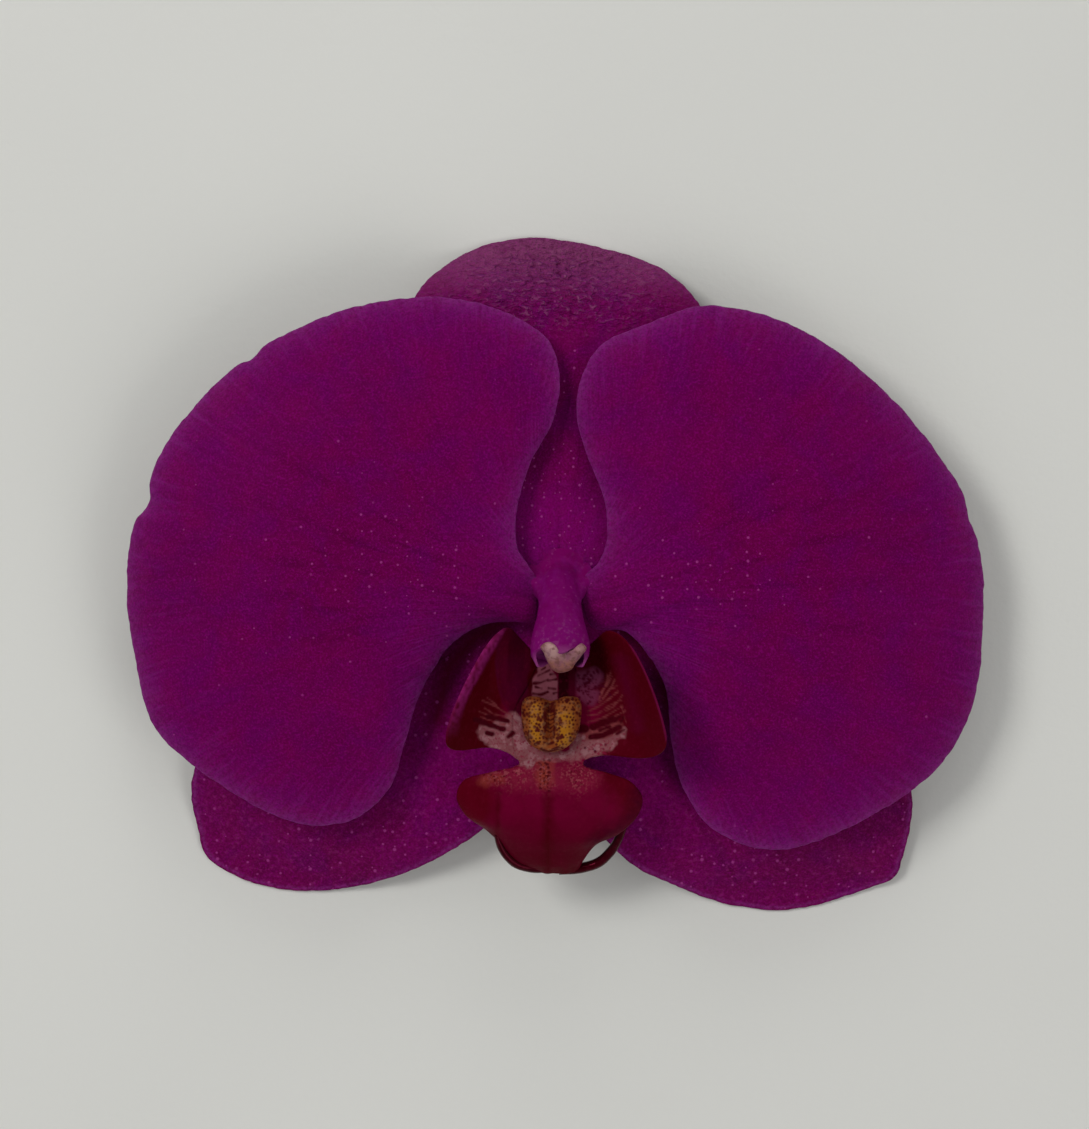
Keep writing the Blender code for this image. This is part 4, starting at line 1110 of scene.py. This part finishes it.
place[:, 2] += 0.09 * bell(run - 6.2, 1.3) * (up_lobe == 0) * swell(x / 0.45, y / 0.45, 12.5)
place[:, 2] += 0.06 * (up_lobe > 0) * swell(x / 1.5, y / 1.5, 13.5)
place[:, 2] += 0.9 * stroke(plan, 1.6, ((-5.6, -8.0), (-5.8, -12.5), (-4.6, -15.0)), soft=2.2)
curl = np.clip((up_lobe - 0.82) / 0.18, 0, 1) ** 2 * ramp(-down_lobe, -0.85, -0.5)
place[:, 2] -= curl * np.where(left, 1.1, 0.35)
place[:, 1] += 0.22 * np.clip(run - 13, 0, 1) * swell(x / 0.9, y / 9, 14.5)
place_at(bm, place)
fold = [
    vert for vert, share in zip(bm.verts, np.abs(across))
    if abs(share - FLOOR_HALF) < 0.09 and not vert.is_boundary
]
for _ in range(25):
    bmesh.ops.smooth_vert(bm, verts=fold, factor=0.5, use_axis_x=True, use_axis_y=True, use_axis_z=True)
place = np.array([vert.co for vert in bm.verts])

# Its colours are laid on from above: the broad tones first.
plan = place[:, :2].copy()
x, y = plan.T
paint = np.tile(np.array(CRIMSON), (len(plan), 1))
# Darker towards the front lobe's tip: painted shade where it bends down.
wash(paint, TIP_SHADE_CRIMSON, ramp(-y, 26, 33))
wash(paint, DARK_CRIMSON, left * ramp(up_lobe, 0, 0.25))
wash(paint, LOBE_RED, right * ramp(up_lobe, 0, 0.25))
TONES = [
    # a colour, how wide and how soft its stroke is, and the points it is drawn through
    # painted shade in the hollow beside the column, right of the claw
    (THROAT_SHADE_RED, 3.6, 2.0, ((4.4, -8.4), (4.9, -11.6))),
    (LOBE_MAGENTA, 1.2, 1.4, ((7.6, -10.0), (8.9, -14.5), (9.6, -17.5))),
    # painted shade in the hollow beside the column, left of the claw
    (THROAT_SHADE_RED, 4.4, 2.0, ((-3.6, -8.0), (-3.6, -12.5))),
    # the purple bulge at the left lobe's root, darkened with painted shade from the column
    (PURPLE_SPOTS_AND_SHADE, 4.0, 0.4, ((-5.0, -7.6), (-5.0, -10.8))),
    (PURPLE_SPOTS_AND_SHADE, 3.1, 0.4, ((-5.0, -10.8), (-4.8, -13.4))),
    (PURPLE_SPOTS_AND_SHADE, 1.7, 0.4, ((-4.8, -13.4), (-4.5, -15.3))),
    # a painted highlight on the bulge's crown and along its left edge
    (FORM_HIGHLIGHT_PURPLE, 1.6, 1.6, ((-5.0, -10.5), (-4.6, -13.6))),
    (FORM_HIGHLIGHT_PURPLE, 0.2, 0.3, ((-7.0, -9.8), (-6.6, -12.8), (-6.0, -14.7), (-4.8, -16.3))),
    (RED, 5.4, 1.6, ((-10.0, -25.8), (-9.6, -26.4))),
    (RED, 3.2, 2.0, ((6.4, -23.4), (8.2, -24.8), (8.8, -26.8))),
    # painted shade on the front lobe's right shoulder, where it folds down
    (PURPLE_SPOTS_AND_SHADE, 1.5, 2.0, ((9.6, -25.0), (9.2, -27.4), (7.6, -29.2), (4.6, -30.8))),
    # painted shade in the crease at the flat middle's left edge, down the midline's groove and along the
    # lower edge where it bends down
    (DARK_CRIMSON, 0.3, 1.0, FLAT_EDGES[0]),
    (DARK_CRIMSON, 0.8, 1.2, MIDLINE),
    (DARK_CRIMSON, 1.1, 1.2, ((-7.6, -30.2), (-6.8, -32.6), (-4.6, -34.3), (-1.5, -34.9), (2.2, -34.7))),
    (ROSE, 3.0, 1.6, ((-4.6, -23.2), (3.4, -23.3))),
    (ORANGE, 1.6, 1.2, ((-1.3, -20.8), (-1.25, -23.6))),
    (ORANGE, 0.7, 1.3, ((-8.2, -23.9), (-7.2, -23.6), (-6.4, -23.6))),
]
for colour, width, soft, points in TONES:
    brush(paint, plan, colour, width, *points, soft=soft, ragged=0.25 * soft)

# The white of the throat and its claw, the net of lilac beside it, and between them the black painted
# shadow of a slot.
WHITES = [
    (1.9, ((-8.2, -18.3), (-7.2, -19.0), (-4.6, -20.2), (-3.2, -20.9))),
    (2.4, ((-6.4, -18.2), (-4.2, -18.4), (-3.2, -20.4))), (1.6, ((-4.9, -16.7), (-3.9, -18.6))),
    (1.4, ((-4.4, -21.0), (-3.2, -21.6))), (1.5, ((2.4, -19.8), (4.4, -19.9), (6.2, -19.5))),
    (0.7, ((6.2, -19.1), (7.6, -18.5), (8.0, -17.9))), (0.9, ((3.0, -20.7), (5.0, -20.7))),
    (0.9, ((2.4, -18.9), (4.0, -19.3))), (1.1, ((-2.0, -20.9), (2.4, -21.0))),
]
white = np.zeros(len(plan))
for width, points in WHITES:
    white = np.maximum(white, stroke(plan, width, points, 0.4, 0.3))
    brush(paint, plan, BLUSH_WHITE, width, *points, soft=0.4, ragged=0.3)
for width, points in ((1.7, ((-1.2, -10.4), (-1.2, -12.2))), (2.9, ((-1.2, -12.7), (-1.25, -14.6)))):
    brush(paint, plan, CLAW_WHITE, width, *points, soft=0.25, ragged=0.12)
brush(paint, plan, LILAC_NET, 2.1, (2.9, -12.4), (4.5, -12.0), soft=0.6, ragged=0.3)
brush(paint, plan, LILAC_NET, 2.0, (3.1, -13.4), (4.0, -14.2), soft=0.6, ragged=0.3)
# painted shade beside the slot
brush(paint, plan, PURPLE_SPOTS_AND_SHADE, 1.1, (1.85, -11.4), (1.8, -14.3), soft=0.4)
brush(paint, plan, SLOT_SHADOW, 1.2, (0.90, -11.2), (0.88, -14.3), soft=0.25)

# Dark bars part the pale ground of each lobe. Above them thin pale lines fan out over the crimson.
FAN_LINES = [
    ((-8.8, -16.4), (-7.7, -16.8), (-6.5, -17.3), (-5.2, -17.4)),
    ((-8.3, -15.4), (-7.3, -16.1), (-6.1, -16.4), (-4.8, -16.6)),
    ((-8.6, -14.5), (-7.3, -15.1), (-6.1, -15.7), (-4.9, -16.3)),
    ((5.0, -14.6), (5.4, -13.5), (6.1, -12.5), (6.5, -11.3)),
    ((5.0, -14.9), (5.8, -14.1), (6.6, -12.9), (6.9, -12.2)), ((5.3, -14.0), (5.9, -12.7), (6.1, -11.7)),
    ((3.7, -15.9), (5.0, -15.3), (6.4, -14.3), (7.3, -13.5)),
    ((3.6, -16.3), (4.8, -16.2), (6.4, -15.1), (7.7, -14.5)),
    ((3.7, -17.1), (5.4, -16.6), (6.8, -15.8), (7.8, -15.2)), ((7.6, -15.2), (7.9, -15.9)),
    ((8.0, -16.4), (8.2, -17.0)), ((5.6, -15.9), (6.7, -15.3), (7.8, -14.0)),
    ((5.3, -14.6), (6.3, -13.4), (7.2, -12.9)), ((5.7, -16.7), (7.0, -16.3), (8.1, -15.7)),
    ((6.0, -12.9), (6.7, -11.7)), ((-8.9, -15.8), (-7.9, -16.2), (-6.8, -16.5)),
    ((-8.0, -14.2), (-6.9, -15.1)),
]
brush(paint, plan, PALE_VEIN, 1.3, (3.6, -18.5), (5.6, -18.3), (7.0, -17.5), soft=0.5, ragged=0.5)
for line in FAN_LINES:
    brush(paint, plan, PALE_VEIN, 0.11, *line, soft=0.18, ragged=0.10, strength=0.85)
BARS = [
    (0.62, ((-9.3, -16.7), (-7.7, -17.4), (-6.0, -17.9))),
    (0.48, ((-7.9, -16.4), (-6.7, -16.7), (-5.4, -16.9))),
    (0.56, ((-8.0, -18.3), (-7.4, -18.45))), (0.52, ((-5.45, -18.75), (-4.9, -18.35))),
    (0.95, ((2.5, -17.8), (3.4, -17.85))), (0.85, ((4.3, -17.6), (5.4, -17.2), (6.6, -16.7))),
    (0.70, ((4.1, -18.8), (5.4, -18.65), (7.4, -17.6))), (0.40, ((5.1, -18.0), (6.3, -17.55))),
    (0.30, ((6.9, -16.9), (7.5, -16.3))), (0.34, ((7.6, -17.0), (7.9, -16.5))),
    (0.26, ((7.1, -18.4), (8.0, -17.9))), (0.24, ((-2.5, -12.75), (-1.7, -12.7), (-0.9, -12.4))),
    (0.24, ((-2.0, -11.9), (-1.1, -11.5), (-0.7, -11.3))),
    (0.26, ((-2.6, -13.9), (-1.7, -14.05), (-0.9, -13.75))),
    (0.22, ((-0.8, -13.3), (0.0, -13.4))), (0.22, ((-0.9, -12.5), (0.1, -12.35))),
    (0.20, ((-1.7, -11.3), (-1.2, -11.0))), (0.22, ((-0.6, -11.8), (0.1, -11.7))),
    (0.20, ((-0.2, -13.9), (0.3, -13.75))), (0.20, ((-2.3, -13.2), (-1.6, -13.35))),
]
for width, line in BARS:
    brush(paint, plan, INK, width, *line, soft=0.16, ragged=0.12)
    white *= 1 - stroke(plan, width + 0.2, line, soft=0.3)
draw = random.Random(7)
SPOTTED = [
    # how many, the middle, the spread, the width and the colour of the spots
    (110, (3.6, -12.8), (1.0, 1.0), 0.24, PURPLE_SPOTS_AND_SHADE),
    (16, (-7.0, -23.6), (0.6, 0.35), 0.20, DARK_CRIMSON),
    (30, (5.0, -20.2), (1.1, 0.4), 0.18, ROSE),
    (12, (4.6, -20.1), (0.8, 0.35), 0.26, PURPLE_SPOTS_AND_SHADE),
    (26, (-5.6, -19.5), (1.4, 0.6), 0.18, ROSE),
    (16, (-3.4, -16.6), (0.5, 0.4), 0.22, INK),
]
for count, middle, spread, width, colour in SPOTTED:
    for _ in range(count):
        spot = (draw.gauss(middle[0], spread[0]), draw.gauss(middle[1], spread[1]))
        brush(paint, plan, colour, width * draw.uniform(0.6, 1.3), spot, soft=0.14, ragged=0.08)
for step in range(27):
    # Three rows of dots run from the throat down the front lobe's middle.
    row_x = -1.75 + 0.45 * (step % 3)
    spot = (row_x + draw.uniform(-0.12, 0.12), -21.2 - 0.14 * step + draw.uniform(-0.1, 0.1))
    brush(paint, plan, INK, draw.uniform(0.20, 0.36), spot, soft=0.14, ragged=0.08, strength=0.85)
# A lilac band on the left lobe's outward-rolled edge, its outer face's colour brightened by painted light,
# and a thin painted highlight along the right lobe's free edge.
band = left * ramp(up_lobe, 0.74, 0.84) * ramp(-down_lobe, -0.75, -0.40)
band *= np.clip(0.75 + 0.8 * swell(x / 0.28, y / 0.4, 15.5), 0, 1)
line = right * ramp(up_lobe, 0.975, 0.99) * ramp(-down_lobe, -0.95, -0.8)
wash(paint, EDGE_LILAC_HIGHLIGHT, np.maximum(band, 0.3 * line))
speckled = 0.9 * patch(plan, -4.6, -23.0, 2.0, 1.6) + 0.9 * patch(plan, 2.4, -23.3, 2.0, 1.6)
speckled += 0.8 * patch(plan, -1.2, -22.6, 1.3, 2.0) + 0.6 * patch(plan, -7.2, -23.6, 1.4, 0.7)
speckled *= 0.65 + 1.1 * swell(x / 0.9, y / 0.9, 16.5)

mesh = mesh_from("painted_lip", bm)
note_paint(mesh, paint)
note(mesh, {"speckled": np.clip(speckled, 0, 1), "white": white})


def lip_flesh(name, plain=None):
    """Fleshy skin with fine papillae, painted in strokes or, if plain is given, all of one tone."""
    made, shader, place = finish_of(name, 0.38, 0.035, (1.0, 0.08, 0.20))
    cells = mottle(place, 2200.0)

    def dabs(tone, scale, low, high):
        spots = eased(mottle(place, scale, 1.0), low, high, 0.0, 0.75)
        return figured("MULTIPLY", noted(place, tone), spots)

    skin = layered(
        plain or noted(place, "paint", "Color"),
        (DARK_CRIMSON, mottle(place, 420.0, 4.0, 0.3), 0.38, 0.68, 0.0, 0.25),
        (FLECK_PINK, dabs("speckled", 3300.0, 0.50, 0.62)),
        (DARK_CRIMSON, dabs("speckled", 2900.0, 0.56, 0.66)),
        (THROAT_WHITE, dabs("white", 1300.0, 0.48, 0.62)),
        (ROSE, dabs("white", 3400.0, 0.50, 0.74)),
        (ROSE, cells, 0.50, 0.75, 0.0, 0.12),
    )
    relief = raised(mottle(place, 500.0, 3.0), 0.08, 0.6)
    coat(shader, skin, raised(cells, 0.04, 0.6, relief))
    return made


lip = worn_by("painted_lip", mesh, [lip_flesh("lip_flesh"), lip_flesh("lip_back", LIP_BACK)])
to_edge = np.where(across == 0, 1, np.minimum(1 - np.abs(floor_across), 1))
shares = 0.6 + 0.4 * np.clip(to_edge / 0.2, 0, 1)
shares = np.where(up_lobe > 0, 0.4 + 0.6 * np.clip((1 - up_lobe) / 0.4, 0, 1), shares)
thicken(lip, LIP_THICKNESS, shares)
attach(lip, "root")
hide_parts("lip")


# Tendrils
# Two tendrils of the same flesh spring from the front lobe's tip and curl back beside its edges.
TENDRILS = {
    "left": [
        (-0.8, -34.4, 8.0), (-2.9, -34.3, 8.4), (-4.7, -33.7, 9.2), (-5.9, -32.5, 10.1),
        (-6.6, -31.1, 11.0), (-6.9, -29.9, 11.7),
    ],
    "right": [
        (0.4, -34.6, 7.8), (3.2, -34.4, 7.7), (5.1, -33.7, 8.1), (6.5, -32.3, 8.9), (7.3, -30.9, 9.8),
        (7.9, -29.3, 10.6), (8.4, -27.9, 11.2), (8.6, -26.8, 11.6),
    ],
}
TENDRIL_RADIUS = 0.62
TENDRIL_TAPER = 0.36
TENDRIL_CRIMSON = (0.022, 0.0003, 0.002)


def tendril_shape(along, angle):
    """It thins towards a rounded end."""
    thin = 1 - TENDRIL_TAPER * along**2 / TENDRIL_RADIUS
    rounded = math.sqrt(max(0.02, 1 - max(0.0, (along - 0.93) / 0.07) ** 2))
    pulse = 0.06 * noise.noise(Vector((math.cos(angle), math.sin(angle), 9 * along)))
    return thin * rounded * (1 + pulse), 0.0


tendril_flesh = lip_flesh("tendril_flesh", TENDRIL_CRIMSON)
for socket, value in {"Roughness": 0.16, "Specular IOR Level": 0.2}.items():
    tendril_flesh.node_tree.nodes["Principled BSDF"].inputs[socket].default_value = value
for side, path in TENDRILS.items():
    sizes = [(TENDRIL_RADIUS, TENDRIL_RADIUS)] * len(path)
    bm = loft(path, sizes, rings=60, sides=24, across=Vector((0, 0, 1)), shape=tendril_shape)
    name = f"lip_tendril_{side}"
    tendril = worn_by(name, mesh_from(name, bm), [tendril_flesh])
    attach(tendril, "root")
    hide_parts("lip")


# Callus
# The yellow pad at the throat, of hard waxy flesh: two rounded ridges with a groove between them,
# freckled with dark red and barred across the groove. It sits on the lip's floor.
CALLUS_RIM = [
    (-3.3, -19.2), (-2.0, -20.2), (-0.5, -20.5), (1.0, -20.1), (2.3, -18.8), (2.9, -16.6),
    (2.7, -14.4), (1.2, -14.1), (-0.5, -14.6), (-2.2, -14.1), (-3.6, -14.4), (-3.9, -16.8),
]
CALLUS_MIDDLE = (-0.5, -17.2)
CALLUS_BOTTOM = 15.95
CALLUS_HEIGHT = 2.15
CALLUS_SIDE = 0.3
CALLUS_CELLS = 110
GROOVE_X = -0.7
RIDGE_X = 1.85  # from the groove to each ridge
BAR_HALF = 0.5
FRECKLE_ROWS = 18
FRECKLES_A_ROW = 19
FRECKLE_SPACING = 0.40
FIRST_FRECKLE = (-4.3, -21.2)
CALLUS_YELLOW = (0.235, 0.069, 0.014)
CALLUS_GOLD = (0.310, 0.115, 0.007)
CALLUS_ORANGE = (0.20, 0.042, 0.010)
CALLUS_TAN = (0.30, 0.138, 0.062)
CALLUS_RED = (0.060, 0.003, 0.004)

bm, plan, radius = pad_of(CALLUS_CELLS, CALLUS_RIM, CALLUS_MIDDLE, 0.3968)
x, y = plan.T
aside = x - GROOVE_X
off_ridge = np.minimum(1.2, np.abs(np.abs(aside) - RIDGE_X) / RIDGE_X)
ridge = 1 - 0.30 * (1 - np.cos(off_ridge * math.pi / 2)) - 0.30 * bell(aside, 0.45) * ramp(y, -20.4, -18.5)
crown = np.sqrt(np.maximum(0, 1 - radius**4))
warts = 0.06 * swell(x / 0.35, y / 0.35, 21.5) + 0.04 * bell(aside, 0.7) * np.cos(y * 11)
levels = CALLUS_BOTTOM + CALLUS_SIDE + (CALLUS_HEIGHT - CALLUS_SIDE) * ridge * crown + warts * crown
place_at(bm, np.column_stack((plan, levels)))
paint = np.tile(np.array(CALLUS_YELLOW), (len(plan), 1))
wash(paint, CALLUS_ORANGE, ramp(radius, 0.62, 0.98))
brush(paint, plan, CALLUS_GOLD, 1.7, (1.1, -16.6), (1.0, -19.0), soft=0.6, ragged=0.3)
brush(paint, plan, CALLUS_GOLD, 1.2, (-2.4, -15.5), (-2.3, -18.6), soft=0.6, ragged=0.3)
brush(paint, plan, CALLUS_ORANGE, 1.3, (GROOVE_X, -14.4), (GROOVE_X, -19.8), soft=0.5, ragged=0.3)
for row in range(FRECKLE_ROWS):
    for step in range(FRECKLES_A_ROW):
        shifted = step + 0.5 * (row % 2)
        spot = (
            FIRST_FRECKLE[0] + (shifted + draw.uniform(-0.28, 0.28)) * FRECKLE_SPACING,
            FIRST_FRECKLE[1] + (row + draw.uniform(-0.28, 0.28)) * FRECKLE_SPACING,
        )
        if abs(spot[0] - GROOVE_X) > 0.6 and draw.random() < 0.95:
            brush(paint, plan, CALLUS_RED, draw.uniform(0.25, 0.37), spot, soft=0.10, ragged=0.14)
for side in (-1, 1):
    line = ((GROOVE_X + 0.55 * side, -15.0), (GROOVE_X + 0.5 * side, -18.4))
    brush(paint, plan, CALLUS_RED, 0.22, *line, soft=0.15, ragged=0.2)
for bar in np.arange(-18.2, -14.6, 0.46):
    ends = bar + draw.uniform(0.15, 0.45)
    middle = (GROOVE_X + draw.uniform(-0.1, 0.1), bar)
    line = ((GROOVE_X - BAR_HALF, ends), middle, (GROOVE_X + BAR_HALF, ends))
    brush(paint, plan, CALLUS_RED, draw.uniform(0.18, 0.32), *line, soft=0.12, ragged=0.15)
ARCS = [
    ((-1.4, -18.7), (-0.9, -18.95), (-0.3, -18.75)), ((-1.35, -19.3), (-0.8, -19.5), (-0.3, -19.3)),
    ((-1.7, -20.1), (-0.8, -20.4), (0.3, -19.9)),
]
for arc in ARCS:
    brush(paint, plan, CALLUS_RED, 0.34, *arc, soft=0.12, ragged=0.1)
grown = bmesh.ops.extrude_face_region(bm, geom=bm.faces[:], use_keep_orig=True)["geom"]
for item in grown:
    if isinstance(item, bmesh.types.BMVert):
        item.co.z = CALLUS_BOTTOM
bmesh.ops.recalc_face_normals(bm, faces=bm.faces)
under = len(bm.verts) - len(paint)
mesh = mesh_from("callus_pad", bm)
paint = np.vstack((paint, np.tile(np.array(CALLUS_ORANGE), (under, 1))))
note_paint(mesh, paint)
pad, shader, place = finish_of("callus_wax", 0.45, 0.14, (1.0, 0.7, 0.3))
skin = layered(
    noted(place, "paint", "Color"),
    (CALLUS_ORANGE, mottle(place, 900.0, 3.0), 0.48, 0.72, 0.0, 0.4),
    (CALLUS_TAN, mottle(place, 1600.0, 2.0), 0.50, 0.68, 0.0, 0.35),
)
coat(shader, skin, raised(mottle(place, 2600.0), 0.05))
callus = worn_by("callus_pad", mesh, [pad])
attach(callus, "root")
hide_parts("lip_callus")
